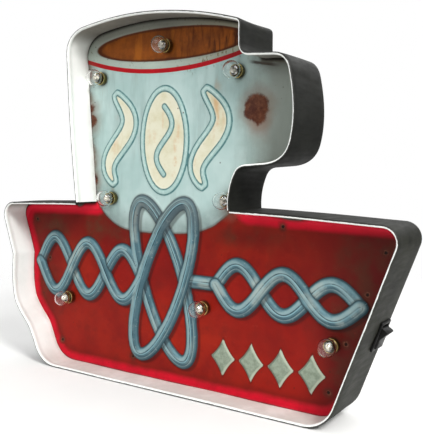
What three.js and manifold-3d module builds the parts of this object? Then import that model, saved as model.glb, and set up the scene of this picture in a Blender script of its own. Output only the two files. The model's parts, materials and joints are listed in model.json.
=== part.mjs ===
// Lit tin advertising sign: a cup standing on a flared base, cut as one outline.
// A shallow sheet-metal tray holds an embossed face panel set back from the front rim,
// clear-globe lamps on the face, a rocker switch in the right wall, and behind the face
// the wiring, a two-cell battery box and a screwed back cover with keyhole hangers.
// Frame: +X to the viewer's right, +Z up, the sign faces -Y, the origin is under the
// middle of the base on the surface it stands on. All sizes are in millimetres.
import * as THREE from "three";
import { mergeVertices } from "three/addons/utils/BufferGeometryUtils.js";
import Module from "manifold-3d";

const wasm = await Module();
wasm.setup();

// ---- driving dimensions ----
const DEPTH = 57; // front rim to rear rim
const FRONT = -DEPTH / 2;
const REAR = DEPTH / 2;
const RECESS = 31; // front rim to the face panel
const SHEET = 1; // tin of the bands
const HEM = 2.4; // thickness of the folded rims
const HEM_LENGTH = 3.5;
const GAP = 0.3; // left between pieces that touch

const BASE_HALF_FOOT = 161.8; // base outline where the sides would meet the bottom
const BASE_FLARE = 0.355; // sideways run of the base's sides for each mm of height
const BASE_FOOT_RADIUS = 30;
const BASE_TOP = 167.5; // height of the base's outer top corners
const BASE_TOP_RADIUS = 14;
const SHELF_CROWN = 4.5; // rise of the base's top edge from its corners to the middle
const CUP_LEFT = -110; // where the cup's walls meet the base's top edge
const CUP_RIGHT = 68.5;
const CUP_MIDDLE = -24;

const FACE_SHEET = 0.8;
const FACE = FRONT + RECESS; // the face panel's front
const FACE_BACK = FACE + FACE_SHEET;
const FACE_INSET = SHEET + 0.7; // from the outline to the panel's edge
const FACE_BORDER = 7.5; // width of the raised border
const BORDER_RISE = 1.2;

const COVER_SHEET = 1;
const COVER = 25; // the back cover's inner side
const COVER_BACK = COVER + COVER_SHEET;

const LAMPS = [
  [-22, 320],
  [-103, 294],
  [57, 292],
  [-88, 175],
  [49, 178],
  [-146, 68],
  [25, 78],
  [153, 63],
];
const GLOBE = { radius: 8, wall: 0.8, neck: 4.5, centre: 13 }; // its centre is ahead of the face
const COLLAR = { bore: 3.9, barrel: 4.6, cup: 6.4, cupWall: 0.6, floor: 2.2, front: 5.4 };
const LAMP_TAIL = 6.5; // length of the collar's barrel behind the face
const LED_RADIUS = 3.5;
const LAMP_SIDES = 12;

const SWITCH_HEIGHT = 75;
const SWITCH_BACK = 12.2; // the switch's middle, behind the sign's mid depth
const ROCKER_TILT = 14; // degrees each way

const SCREW = { shank: 1.4, hole: 1.8, head: 3, length: 5.6 };
const BEHIND = 30; // deeper than anything in the sign, for cuts that go right through

const BOX_X = -60; // middle of the battery box
const BOX_Z = 95;
const CELL_RADIUS = 7.1;
const CELL_LENGTH = 49;
const CELL_PITCH = 15.4;
const TRAY = { x: 28.5, z: 15.6, floor: 8.6, wall: 1.5 }; // inner half sizes

// ---- colours ----
const COLOURS = {
  outside: [0x33332f, 0.55, 0.5],
  face: [0x9e2422, 0.45, 0.2],
  cover: [0x2c2c2a, 0.6, 0.4],
  zinc: [0xb9bcbf, 0.35, 0.9],
  brass: [0xb39a5c, 0.3, 0.9],
  glass: [0xe8efef, 0.05, 0],
  led: [0xf4f4ee, 0.15, 0],
  plastic: [0x171717, 0.4, 0],
  cell: [0x7d868c, 0.35, 0.5],
  wire: [0x1d1d1d, 0.6, 0],
};
const materials = {};
for (const [name, [color, roughness, metalness]] of Object.entries(COLOURS))
  materials[name] = new THREE.MeshStandardMaterial({ color, roughness, metalness });

// ---- solids ----
// A geometry as a manifold solid, with its faces turned outwards.
function solid(geometry) {
  const plain = new THREE.BufferGeometry().setAttribute(
    "position",
    (geometry.index ? geometry.toNonIndexed() : geometry).getAttribute("position"),
  );
  const merged = mergeVertices(plain, 1e-4);
  const make = (triVerts) =>
    new wasm.Manifold(
      new wasm.Mesh({ numProp: 3, vertProperties: merged.attributes.position.array, triVerts }),
    );
  const corners = new Uint32Array(merged.index.array);
  const made = make(corners);
  return made.volume() < 0 ? make(corners.reverse()) : made;
}

// A manifold solid as a three.js geometry.
function geometryOf(made) {
  const mesh = made.getMesh();
  const points = new Float32Array(mesh.numVert * 3);
  for (let i = 0; i < mesh.numVert; i++)
    points.set(mesh.vertProperties.subarray(i * mesh.numProp, i * mesh.numProp + 3), i * 3);
  const geometry = new THREE.BufferGeometry();
  geometry.setAttribute("position", new THREE.BufferAttribute(points, 3));
  geometry.setIndex(new THREE.BufferAttribute(mesh.triVerts, 1));
  return geometry;
}

const joined = (parts) => parts.reduce((left, part) => left.add(part));
const cut = (body, tools) => tools.reduce((left, tool) => left.subtract(tool), body);

function block(x0, x1, y0, y1, z0, z1) {
  const geometry = new THREE.BoxGeometry(x1 - x0, y1 - y0, z1 - z0);
  return solid(geometry.translate((x0 + x1) / 2, (y0 + y1) / 2, (z0 + z1) / 2));
}

// A round rod along Y.
function rod(x, z, radius, y0, y1, sides = 16) {
  const geometry = new THREE.CylinderGeometry(radius, radius, y1 - y0, sides);
  return solid(geometry.translate(x, (y0 + y1) / 2, z));
}

// A flat shape drawn in x and z, from y0 back to y1.
function plate(points, y0, y1, holes = []) {
  const shape = new THREE.Shape(points);
  shape.holes = holes.map((hole) => new THREE.Path(hole));
  const geometry = new THREE.ExtrudeGeometry(shape, { depth: y1 - y0, bevelEnabled: false });
  return solid(geometry.rotateX(Math.PI / 2).translate(0, y1, 0));
}

// The path moved to its left by a distance, with mitred corners.
function offset(path, distance, closed = false) {
  const last = path.length - 1;
  const turn = (a, b) => new THREE.Vector2(a.y - b.y, b.x - a.x).normalize();
  return path.map((point, i) => {
    const before = i > 0 ? path[i - 1] : closed ? path[last] : point;
    const after = i < last ? path[i + 1] : closed ? path[0] : point;
    const first = before === point ? turn(point, after) : turn(before, point);
    const second = after === point ? first : turn(point, after);
    const mitre = first.clone().add(second).normalize();
    return point.clone().addScaledVector(mitre, distance / mitre.dot(second));
  });
}

// A profile of [distance to the path's left, y] pairs carried along a flat path.
function sweep(path, profile, closed = false) {
  const rings = profile.map(([distance]) => offset(path, distance, closed));
  const count = profile.length;
  const points = path.flatMap((_, i) =>
    profile.flatMap(([, y], k) => [rings[k][i].x, y, rings[k][i].y]),
  );
  const corners = [];
  const spans = closed ? path.length : path.length - 1;
  for (let i = 0; i < spans; i++)
    for (let k = 0; k < count; k++) {
      const a = i * count + k;
      const b = i * count + ((k + 1) % count);
      const c = ((i + 1) % path.length) * count + k;
      const d = ((i + 1) % path.length) * count + ((k + 1) % count);
      corners.push(a, b, d, a, d, c);
    }
  if (!closed) {
    const section = profile.map(([distance, y]) => new THREE.Vector2(distance, y));
    const end = (path.length - 1) * count;
    const clockwise = THREE.ShapeUtils.isClockWise(section);
    for (const [a, b, c] of THREE.ShapeUtils.triangulateShape(section, [])) {
      const [p, q] = clockwise ? [c, a] : [a, c];
      corners.push(q, b, p, end + p, end + b, end + q);
    }
  }
  const geometry = new THREE.BufferGeometry();
  geometry.setAttribute("position", new THREE.Float32BufferAttribute(points, 3));
  geometry.setIndex(corners);
  return solid(geometry);
}

// ---- outline ----
const shelfHeight = (x) => BASE_TOP + SHELF_CROWN * (1 - (x / 200) ** 2);
const wallX = (z) => BASE_HALF_FOOT + BASE_FLARE * z; // the right wall's outside

// The point where the base's right corner arc leaves a straight side.
const sideAngle = Math.atan(BASE_FLARE);
const topInset = BASE_TOP_RADIUS / Math.tan((Math.PI / 2 - sideAngle) / 2);
const footInset = BASE_FOOT_RADIUS / Math.tan((Math.PI / 2 + sideAngle) / 2);
const along = (length) => [length * Math.sin(sideAngle), length * Math.cos(sideAngle)];

// The base's wall, from the cup's left foot down round the bottom and up to its right foot.
function basePath() {
  const path = new THREE.Path();
  const [topX, topZ] = along(topInset);
  const [footX, footZ] = along(footInset);
  const corner = wallX(BASE_TOP);
  path.moveTo(CUP_LEFT + SHEET, shelfHeight(CUP_LEFT));
  path.lineTo(-150, shelfHeight(150));
  path.lineTo(-(corner - topInset), BASE_TOP);
  path.absarc(
    -(corner - topInset),
    BASE_TOP - BASE_TOP_RADIUS,
    BASE_TOP_RADIUS,
    Math.PI / 2,
    Math.PI + sideAngle,
    false,
  );
  path.lineTo(-wallX(112), 112);
  path.quadraticCurveTo(-204.5, 84, -199, 64);
  path.quadraticCurveTo(-194.5, 54, -182, 42);
  path.quadraticCurveTo(-175.5, 35, -(BASE_HALF_FOOT + footX), footZ);
  path.quadraticCurveTo(-BASE_HALF_FOOT + 1, 1, -(BASE_HALF_FOOT - footInset), 0);
  path.lineTo(BASE_HALF_FOOT - footInset, 0);
  path.absarc(
    BASE_HALF_FOOT - footInset,
    BASE_FOOT_RADIUS,
    BASE_FOOT_RADIUS,
    -Math.PI / 2,
    -sideAngle,
    false,
  );
  path.lineTo(corner - topX, BASE_TOP - topZ);
  path.absarc(
    corner - topInset,
    BASE_TOP - BASE_TOP_RADIUS,
    BASE_TOP_RADIUS,
    -sideAngle,
    Math.PI / 2,
    false,
  );
  path.lineTo(150, shelfHeight(150));
  path.lineTo(CUP_RIGHT - SHEET, shelfHeight(CUP_RIGHT));
  return tidied(path.getPoints(5));
}

// The cup's wall, from its right foot up round the handle and the rim to its left foot.
function cupPath() {
  const path = new THREE.Path();
  path.moveTo(CUP_RIGHT, shelfHeight(CUP_RIGHT) + GAP);
  path.quadraticCurveTo(67, 186, 73, 200.5);
  path.quadraticCurveTo(75.8, 207.6, 83, 208.2);
  path.lineTo(100, 209.6);
  path.quadraticCurveTo(121.5, 211.5, 125.4, 230);
  path.quadraticCurveTo(131, 254, 123.8, 285);
  path.quadraticCurveTo(121, 300, 108, 301);
  path.lineTo(83, 302.6);
  path.quadraticCurveTo(77, 303.5, 76.3, 310);
  path.lineTo(76, 327);
  path.quadraticCurveTo(76, 330.6, 72, 331.9);
  path.quadraticCurveTo(-18, 357.6, -104.6, 339.7);
  path.quadraticCurveTo(-123.5, 333, -123.3, 316);
  path.quadraticCurveTo(-119, 235, CUP_LEFT, shelfHeight(CUP_LEFT) + GAP);
  return tidied(path.getPoints(6));
}

// A path without repeated points.
const tidied = (points) =>
  points.filter((point, i) => i === 0 || point.distanceTo(points[i - 1]) > 0.05);

const base = basePath();
const cup = cupPath();
const outline = tidied([...base.slice(1, -1), ...cup]);

// The stretch of a path within a distance of a point.
function stretch(path, x, z, reach) {
  const curve = new THREE.Path();
  curve.setFromPoints(path);
  const near = new THREE.Vector2(x, z);
  const fine = curve.getSpacedPoints(Math.round(curve.getLength() / 2));
  return fine.filter((point) => point.distanceTo(near) < reach);
}

// ---- bands ----
const HEM_ROUND = 0.6; // rounding of the front rim's two edges
const HEM_STEP = 0.5; // slope where a hem's folded edge ends
const bandProfile = [
  [0, FRONT + HEM_ROUND],
  [HEM_ROUND, FRONT],
  [HEM - HEM_ROUND, FRONT],
  [HEM, FRONT + HEM_ROUND],
  [HEM, FRONT + HEM_LENGTH],
  [SHEET, FRONT + HEM_LENGTH + HEM_STEP],
  [SHEET, REAR - HEM_LENGTH - HEM_STEP],
  [HEM, REAR - HEM_LENGTH],
  [HEM, REAR],
  [0, REAR],
];

// Places near the bands where a screw tab or a face tab is welded on.
const SCREWS = [
  [-23, 347, cup],
  [126, 250, cup],
  [-118.5, 240, cup],
  [-110, 0, base],
  [110, 0, base],
  [206, 125, base],
  [-206, 125, base],
];
const FACE_TABS = [
  [-70, 346, cup],
  [60, 336, cup],
  [124, 230, cup],
  [-121, 280, cup],
  [-60, 0, base],
  [60, 0, base],
  [175, 38, base],
  [-201, 85, base],
  [150, 169, base],
  [-165, 169, base],
];
const TAB_HALF = 7; // half the width of a tab along the band
const SCREW_TAB_REACH = 14;
const FACE_TAB_REACH = 8;
const SCREW_INSET = 9; // from the outline to a screw's middle
const tabProfile = (front, reach) => [
  [SHEET / 2, front],
  [reach, front],
  [reach, front + SHEET],
  [SHEET / 2, front + SHEET],
];
const COVER_TAB = COVER - GAP - SHEET;

// Where each cover screw stands: inside the outline by SCREW_INSET.
const screwSpots = SCREWS.map(([x, z, path]) => {
  const near = stretch(path, x, z, TAB_HALF);
  const inner = offset(near, SCREW_INSET);
  return inner[Math.floor(inner.length / 2)];
});
const screwHoles = screwSpots.map((spot) =>
  rod(spot.x, spot.y, SCREW.hole, COVER_TAB - 1, BEHIND, 10),
);

// A band with its screw tabs and face tabs welded on.
function band(path) {
  const tabs = [
    ...SCREWS.filter((spot) => spot[2] === path).map(([x, z]) =>
      sweep(stretch(path, x, z, TAB_HALF), tabProfile(COVER_TAB, SCREW_TAB_REACH)),
    ),
    ...FACE_TABS.filter((spot) => spot[2] === path).map(([x, z]) =>
      sweep(stretch(path, x, z, TAB_HALF), tabProfile(FACE_BACK + GAP, FACE_TAB_REACH)),
    ),
  ];
  return cut(joined([sweep(path, bandProfile), ...tabs]), screwHoles);
}

// ---- face art, as embossed lines ----
const TUBE = 13; // width of the scroll's embossed tube
const TUBE_RISE = 3;
const BEAD_HALF = 2.4;
const BEAD_RISE = 1.2;
const ROOT = 0.4; // how far a ridge is sunk into the sheet it stands on
const tubeProfile = [
  [TUBE / 2, FACE + ROOT],
  [TUBE * 0.36, FACE - TUBE_RISE * 0.6],
  [TUBE * 0.13, FACE - TUBE_RISE],
  [-TUBE * 0.13, FACE - TUBE_RISE],
  [-TUBE * 0.36, FACE - TUBE_RISE * 0.6],
  [-TUBE / 2, FACE + ROOT],
];
const beadProfile = [
  [BEAD_HALF, FACE + ROOT],
  [BEAD_HALF / 2, FACE - BEAD_RISE],
  [-BEAD_HALF / 2, FACE - BEAD_RISE],
  [-BEAD_HALF, FACE + ROOT],
];

// The knot of two tall loops in the middle, one leaning each way.
const KNOT = { x: CUP_MIDDLE, z: 98, halfWidth: 24, halfHeight: 80, lean: Math.PI / 9 };

function tallLoop(side) {
  const loop = new THREE.EllipseCurve(0, 0, KNOT.halfWidth, KNOT.halfHeight);
  const middle = new THREE.Vector2(KNOT.x, KNOT.z);
  const points = loop.getPoints(28).slice(0, -1);
  return points.map((p) => p.rotateAround(new THREE.Vector2(), side * KNOT.lean).add(middle));
}

// One of two crossing waves that run from a start to an end, through a number of cells.
function wave(side, start, end, cells, swings) {
  const points = [];
  const steps = 8 * cells;
  for (let i = 0; i <= steps; i++) {
    const share = i / steps;
    const swing = swings[0] + (swings[1] - swings[0]) * share;
    const point = new THREE.Vector2().lerpVectors(start, end, share);
    point.y += side * swing * Math.sin(Math.PI * cells * share);
    points.push(point);
  }
  return points;
}
const spot = (x, z) => new THREE.Vector2(x, z);
const RIGHT_TWIST = [spot(38, 101), spot(176, 97), 3, [22, 14]];
const LEFT_TWIST = [spot(-190, 103), spot(-50, 98), 3, [30, 24]];
const TWIST_LEAD = spot(8, 101); // where the right-hand twist leaves the knot

// An oval bean, and the curved slot down its middle.
const BEAN = { z: 232, halfWidth: 26, halfHeight: 49, slotSwing: 9, slotHalf: 32 };
const bean = new THREE.EllipseCurve(CUP_MIDDLE, BEAN.z, BEAN.halfWidth, BEAN.halfHeight)
  .getPoints(24)
  .slice(0, -1);
function slot() {
  const points = [];
  const steps = 9;
  for (let i = 0; i <= steps; i++) {
    const share = i / steps;
    const swing = BEAN.slotSwing * Math.sin(2 * Math.PI * share);
    points.push(spot(CUP_MIDDLE + swing, BEAN.z + BEAN.slotHalf * (1 - 2 * share)));
  }
  return points;
}

// The outline of a rising wisp of steam round a middle line.
const WISPS = [-80, 27];
const WISP = { foot: 190, rise: 88, swing: 13, phase: 0.4, tip: 2.5, belly: 7 };
function wisp(x) {
  const line = [];
  const steps = 12;
  for (let i = 0; i <= steps; i++) {
    const share = i / steps;
    const swing = WISP.swing * Math.sin(2 * Math.PI * share + WISP.phase);
    line.push(spot(x - swing, WISP.foot + WISP.rise * share));
  }
  const width = (i) => WISP.tip + WISP.belly * Math.sin((Math.PI * i) / steps) ** 0.6;
  const left = line.map((_, i) => offset(line, width(i))[i]);
  const right = line.map((_, i) => offset(line, -width(i))[i]).reverse();
  return [...left, ...right];
}

function facePanel() {
  const edge = offset(outline, FACE_INSET, true);
  const field = offset(outline, FACE_INSET + FACE_BORDER, true);
  const art = [
    sweep(tallLoop(1), tubeProfile, true),
    sweep(tallLoop(-1), tubeProfile, true),
    sweep([TWIST_LEAD, ...wave(1, ...RIGHT_TWIST)], tubeProfile),
    ...[[-1, RIGHT_TWIST], [1, LEFT_TWIST], [-1, LEFT_TWIST]].map(([side, twist]) =>
      sweep(wave(side, ...twist), tubeProfile),
    ),
    sweep(bean, beadProfile, true),
    sweep(slot(), beadProfile),
    ...WISPS.map((x) => sweep(wisp(x), beadProfile, true)),
  ];
  const sheet = joined([
    plate(edge, FACE, FACE_BACK),
    plate(edge, FACE - BORDER_RISE, FACE_BACK, [field.toReversed()]),
    ...art,
  ]);
  const hole = COLLAR.barrel + 0.5;
  return cut(
    sheet,
    LAMPS.map(([x, z]) => rod(x, z, hole, FACE - 2 * TUBE_RISE, FACE_BACK + 1)),
  );
}

// ---- lamps, drawn along +Y of the lathe and turned to point forward ----
function turned(profile, sides = LAMP_SIDES) {
  const points = profile.map(([radius, height]) => new THREE.Vector2(radius, height));
  return new THREE.LatheGeometry([...points, points[0]], sides).rotateX(Math.PI);
}

// Part of a circle about a height on the axis, from one angle to another.
function arc(radius, height, from, to, steps) {
  const points = [];
  for (let i = 0; i <= steps; i++) {
    const angle = from + ((to - from) * i) / steps;
    points.push([radius * Math.sin(angle), height + radius * Math.cos(angle)]);
  }
  return points;
}

// The collar is a barrel through the face with an open cup on its front, the globe's neck
// stands in the cup, and the diode with its small reflector stands in the barrel.
const lampPieces = {
  base: turned([
    [COLLAR.bore, -LAMP_TAIL],
    [COLLAR.barrel, -LAMP_TAIL],
    [COLLAR.barrel, GAP],
    [COLLAR.cup, GAP],
    [COLLAR.cup, COLLAR.front],
    [COLLAR.cup - COLLAR.cupWall, COLLAR.front],
    [COLLAR.cup - COLLAR.cupWall, COLLAR.floor],
    [COLLAR.bore, COLLAR.floor],
  ]),
  globe: turned([
    ...arc(GLOBE.radius - GLOBE.wall, GLOBE.centre, 0, 2.45, 5),
    [GLOBE.neck, COLLAR.floor + 2 * GAP],
    [GLOBE.neck + GLOBE.wall, COLLAR.floor + 2 * GAP],
    ...arc(GLOBE.radius, GLOBE.centre, 2.4, 0, 6),
  ]),
  led: turned(
    [
      [0, 1 - LAMP_TAIL],
      [LED_RADIUS, 1 - LAMP_TAIL],
      [LED_RADIUS, 6.6],
      [LED_RADIUS + 0.6, 8.4],
      [LED_RADIUS + 0.6, 9.2],
      [2.9, 9.8],
      [2.9, 11.4],
      [1.7, 12.9],
      [0, 13.4],
    ],
    10,
  ),
};

// A hexagon nut with a round hole, about the Y axis.
const NUT = { corner: 7.4, thick: 2.6 };
function lampNut() {
  const hexagon = new THREE.CylinderGeometry(NUT.corner, NUT.corner, NUT.thick, 6);
  const hole = rod(0, 0, COLLAR.barrel + GAP, -1, NUT.thick + 1, LAMP_SIDES);
  return geometryOf(cut(solid(hexagon.translate(0, NUT.thick / 2, 0)), [hole]));
}

// ---- back cover, screws and hangers ----
const HANGERS = [
  [-74, 292],
  [26, 292],
];
const KEYHOLE = { head: 4.8, slot: 2.6, rise: 9 };
const HANGER = { half: 13, below: 12, above: 19, thick: 1.2 };

// The cover's windows behind the keyholes give the wall screws' heads room.
const WINDOW = { half: 7, below: 8, above: 15 };

function backCover() {
  const edge = offset(outline, HEM + 0.7, true);
  const windows = HANGERS.map(([x, z]) =>
    block(
      x - WINDOW.half,
      x + WINDOW.half,
      COVER - 1,
      BEHIND,
      z - WINDOW.below,
      z + WINDOW.above,
    ),
  );
  const boxHole = centred(MOUTH.x + GAP, MOUTH.z + GAP, COVER - 1, BEHIND);
  return cut(plate(edge, COVER, COVER_BACK), [...windows, boxHole, ...screwHoles]);
}

function hanger([x, z]) {
  const front = COVER_BACK + GAP;
  const body = block(
    x - HANGER.half,
    x + HANGER.half,
    front,
    front + HANGER.thick,
    z - HANGER.below,
    z + HANGER.above,
  );
  const top = z + KEYHOLE.rise;
  const reach = [COVER_BACK - 1, BEHIND];
  return cut(body, [
    rod(x, z, KEYHOLE.head, ...reach),
    rod(x, top, KEYHOLE.slot, ...reach),
    block(x - KEYHOLE.slot, x + KEYHOLE.slot, ...reach, z, top),
  ]);
}

function screw() {
  return turned(
    [
      [0, 0],
      [SCREW.shank, 0],
      [SCREW.shank, SCREW.length],
      [SCREW.head, SCREW.length],
      [SCREW.head, SCREW.length + 1],
      [2, SCREW.length + 1.7],
      [0, SCREW.length + 1.7],
    ],
    10,
  ).rotateX(Math.PI);
}

// ---- battery box ----
const FRAME_BACK = COVER_BACK + GAP + 1.9;
const DOOR = { x: 30.6, z: 17.6, thick: 1.8 };
const MOUTH = { x: 32.4, z: 19.4 }; // outer half sizes of the box where it meets the cover
const FLANGE = { x: 36, z: 22.5 }; // outer half sizes of its frame on the cover
const HINGE_X = BOX_X - DOOR.x + DOOR.thick / 2;
const HINGE_Y = FRAME_BACK - DOOR.thick / 2;
const PIN = { radius: 0.45, hole: 0.75, reach: 1.5 };

function centred(halfX, halfZ, y0, y1) {
  return block(BOX_X - halfX, BOX_X + halfX, y0, y1, BOX_Z - halfZ, BOX_Z + halfZ);
}

// A small rod along Z on the door's hinge line, half its length each way from the middle.
function hingeRod(radius, half) {
  const geometry = new THREE.CylinderGeometry(radius, radius, 2 * half, 12).rotateX(Math.PI / 2);
  return solid(geometry.translate(HINGE_X, HINGE_Y, BOX_Z));
}

function batteryBox() {
  const outer = centred(TRAY.x + TRAY.wall, TRAY.z + TRAY.wall, TRAY.floor - TRAY.wall, 24);
  const flange = centred(FLANGE.x, FLANGE.z, COVER_BACK + GAP, FRAME_BACK);
  const rib = centred(TRAY.x + 1, 0.4, TRAY.floor - 1, TRAY.floor + 4);
  const hollow = centred(TRAY.x, TRAY.z, TRAY.floor, BEHIND);
  const doorSeat = centred(DOOR.x + GAP, DOOR.z + GAP, FRAME_BACK - DOOR.thick - GAP, BEHIND);
  const rim = centred(MOUTH.x, MOUTH.z, 22, FRAME_BACK);
  const thumbNotch = rod(BOX_X + DOOR.x + 1.5, BOX_Z, 4.5, FRAME_BACK - 1.2, BEHIND);
  const pivots = hingeRod(PIN.hole, DOOR.z + PIN.reach + 0.4);
  const shell = cut(joined([outer, flange, rim]), [hollow, doorSeat, thumbNotch, pivots]);
  return joined([shell, rib]);
}

function batteryDoor() {
  const leaf = block(
    HINGE_X,
    BOX_X + DOOR.x,
    FRAME_BACK - DOOR.thick,
    FRAME_BACK,
    BOX_Z - DOOR.z,
    BOX_Z + DOOR.z,
  );
  const roll = hingeRod(DOOR.thick / 2, DOOR.z);
  const pins = hingeRod(PIN.radius, DOOR.z + PIN.reach);
  const grips = [0, 1, 2].map((i) => {
    const x = BOX_X + DOOR.x - 9 + 2 * i;
    return block(x, x + 0.8, FRAME_BACK - 0.5, FRAME_BACK + 1, BOX_Z - 7, BOX_Z + 7);
  });
  return cut(joined([leaf, roll, pins]), grips);
}

// A cell lying along X: its can, and the button at its positive end.
function cell() {
  return turned([
    [0, -CELL_LENGTH / 2],
    [CELL_RADIUS - 0.5, -CELL_LENGTH / 2],
    [CELL_RADIUS, 0.5 - CELL_LENGTH / 2],
    [CELL_RADIUS, CELL_LENGTH / 2 - 0.5],
    [CELL_RADIUS - 0.5, CELL_LENGTH / 2],
    [2.7, CELL_LENGTH / 2],
    [2.7, CELL_LENGTH / 2 + 1.2],
    [0, CELL_LENGTH / 2 + 1.2],
  ]).rotateZ(-Math.PI / 2);
}

// A conical contact spring along X, its wide end at the tray wall.
function spring() {
  const points = [];
  const turns = 3;
  for (let i = 0; i <= turns * 8; i++) {
    const share = i / (turns * 8);
    const angle = 2 * Math.PI * turns * share;
    const radius = 4.6 - 1.6 * share;
    const [y, z] = [radius * Math.cos(angle), radius * Math.sin(angle)];
    points.push(new THREE.Vector3(4.6 * share, y, z));
  }
  const wire = new THREE.Shape(new THREE.EllipseCurve(0, 0, 0.35, 0.35).getPoints(4).slice(0, -1));
  return new THREE.ExtrudeGeometry(wire, {
    steps: turns * 8,
    bevelEnabled: false,
    extrudePath: new THREE.CatmullRomCurve3(points),
  });
}

// ---- switch, drawn with +X out of the wall and +Z up along it ----
const PIVOT_X = -1.6;
const BEZEL = { front: 2.3, y: 10, z: 13 };
const BODY = { depth: 16, y: 8.4, z: 11.6, wall: 1 };
const TERMINAL = { end: 22, half: 2.4, thick: 0.8, heights: [-5, 4] };

// A rod along Y in the switch's own frame.
const switchRod = (radius, half) => rod(PIVOT_X, 0, radius, -half, half, 12);

function switchHousing() {
  const bezel = block(GAP, BEZEL.front, -BEZEL.y, BEZEL.y, -BEZEL.z, BEZEL.z);
  const body = block(-BODY.depth, 1, -BODY.y, BODY.y, -BODY.z, BODY.z);
  const [pocketY, pocketZ] = [BODY.y - 1.1, BODY.z - BODY.wall];
  const pocket = block(-9.5, BEZEL.front + 1, -pocketY, pocketY, -pocketZ, pocketZ);
  const terminals = TERMINAL.heights.map((z) =>
    block(-TERMINAL.end, 1 - BODY.depth, -TERMINAL.half, TERMINAL.half, z, z + TERMINAL.thick),
  );
  return joined([cut(joined([bezel, body]), [pocket, switchRod(1.3, 9)]), ...terminals]);
}

function rocker() {
  const outline = [
    [-4.6, -5],
    [-4.6, 5],
    [0, 8.9],
    [5.4, 8.9],
    [6.6, 8.2],
    [6.2, 7.4],
    [4.4, 0],
    [6.2, -7.4],
    [6.6, -8.2],
    [5.4, -8.9],
    [0, -8.9],
  ].map(([x, z]) => new THREE.Vector2(x + PIVOT_X + 1.4, z));
  return joined([plate(outline, -7, 7), switchRod(1, 7.9)]);
}

// ---- wires ----
const circle = (radius) =>
  new THREE.Shape(new THREE.EllipseCurve(0, 0, radius, radius).getPoints(5).slice(0, -1));

function wire(radius, steps, points) {
  const route = new THREE.CatmullRomCurve3(points.map((p) => new THREE.Vector3(...p)));
  return new THREE.ExtrudeGeometry(circle(radius), {
    steps,
    bevelEnabled: false,
    extrudePath: route,
  });
}
const LAMP_WIRE_Y = 10.6;
const flat = (x, z) => [x, LAMP_WIRE_Y, z];
const atLamp = (number) => flat(...LAMPS[number - 1]);
const lampWire = [
  [161, 9, 76],
  flat(159, 69),
  atLamp(8),
  flat(90, 62),
  atLamp(7),
  flat(-12, 58),
  flat(-60, 52),
  flat(-110, 56),
  atLamp(6),
  flat(-150, 110),
  flat(-118, 145),
  atLamp(4),
  flat(-92, 235),
  atLamp(2),
  flat(-70, 313),
  atLamp(1),
  flat(24, 312),
  atLamp(3),
  flat(57, 235),
  atLamp(5),
];

// ---- assembly ----
const sign = new THREE.Group();

function add(name, material, geometry, parent = sign) {
  const mesh = new THREE.Mesh(geometry, materials[material]);
  mesh.name = name;
  parent.add(mesh);
  return mesh;
}

const switchGroup = new THREE.Group();
switchGroup.position.set(wallX(SWITCH_HEIGHT), SWITCH_BACK, SWITCH_HEIGHT);
switchGroup.rotation.y = sideAngle;
switchGroup.updateMatrixWorld(true);
sign.add(switchGroup);
const [holeY, holeZ] = [2 * (BODY.y + GAP + 0.1), 2 * (BODY.z + GAP + 0.1)];
const switchHole = solid(
  new THREE.BoxGeometry(8, holeY, holeZ).applyMatrix4(switchGroup.matrixWorld),
);

add("base_band", "outside", geometryOf(band(base).subtract(switchHole)));
add("cup_band", "outside", geometryOf(band(cup)));

// Angle brackets inside the two corners where the cup's band stands on the base's.
const BRACKET = { front: 8, back: 22, reach: 16, inset: SHEET + 2 * GAP };
const bracketProfile = [
  [BRACKET.inset, BRACKET.front],
  [BRACKET.inset + SHEET, BRACKET.front],
  [BRACKET.inset + SHEET, BRACKET.back],
  [BRACKET.inset, BRACKET.back],
];
const onShelf = (x) => spot(x, shelfHeight(x));
const corners = {
  left: [cup.at(-2), cup.at(-1), onShelf(CUP_LEFT - BRACKET.reach)],
  right: [onShelf(CUP_RIGHT + BRACKET.reach), cup[0], cup[1]],
};
for (const [side, path] of Object.entries(corners))
  add(`corner_bracket_${side}`, "zinc", geometryOf(sweep(path, bracketProfile)));

add("face_panel", "face", geometryOf(facePanel()));
add("back_cover", "cover", geometryOf(backCover()));
screwSpots.forEach((spot, i) => {
  const mesh = add(`cover_screw_${i + 1}`, "zinc", screw());
  mesh.position.set(spot.x, COVER_BACK + GAP - SCREW.length, spot.y);
});
HANGERS.forEach((spot, i) => {
  add(`hanger_plate_${i ? "right" : "left"}`, "zinc", geometryOf(hanger(spot)));
});

LAMPS.forEach(([x, z], i) => {
  const lamp = new THREE.Group();
  lamp.position.set(x, FACE, z);
  sign.add(lamp);
  add(`lamp_${i + 1}_base`, "brass", lampPieces.base, lamp);
  add(`lamp_${i + 1}_globe`, "glass", lampPieces.globe, lamp);
  add(`lamp_${i + 1}_led`, "led", lampPieces.led, lamp);
  const nut = add(`lamp_${i + 1}_nut`, "zinc", lampNut(), lamp);
  nut.position.y = FACE_SHEET + GAP;
});

add("battery_box", "plastic", geometryOf(batteryBox()));
add("battery_door", "plastic", geometryOf(batteryDoor()));
[-1, 1].forEach((side, i) => {
  const battery = new THREE.Group();
  battery.position.set(
    BOX_X,
    TRAY.floor + 2 * GAP + CELL_RADIUS,
    BOX_Z + (side * CELL_PITCH) / 2,
  );
  battery.rotation.z = side < 0 ? 0 : Math.PI;
  sign.add(battery);
  const can = add(`battery_${i + 1}`, "cell", cell(), battery);
  can.position.x = -1.6;
  const coil = add(`contact_spring_${i + 1}`, "zinc", spring(), battery);
  coil.rotation.y = Math.PI;
  coil.position.x = TRAY.x - 2 * GAP;
  const contact = add(
    `contact_plate_${i + 1}`,
    "zinc",
    new THREE.BoxGeometry(0.4, 9, 9),
    battery,
  );
  contact.position.x = GAP + 0.2 - TRAY.x;
});

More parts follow.
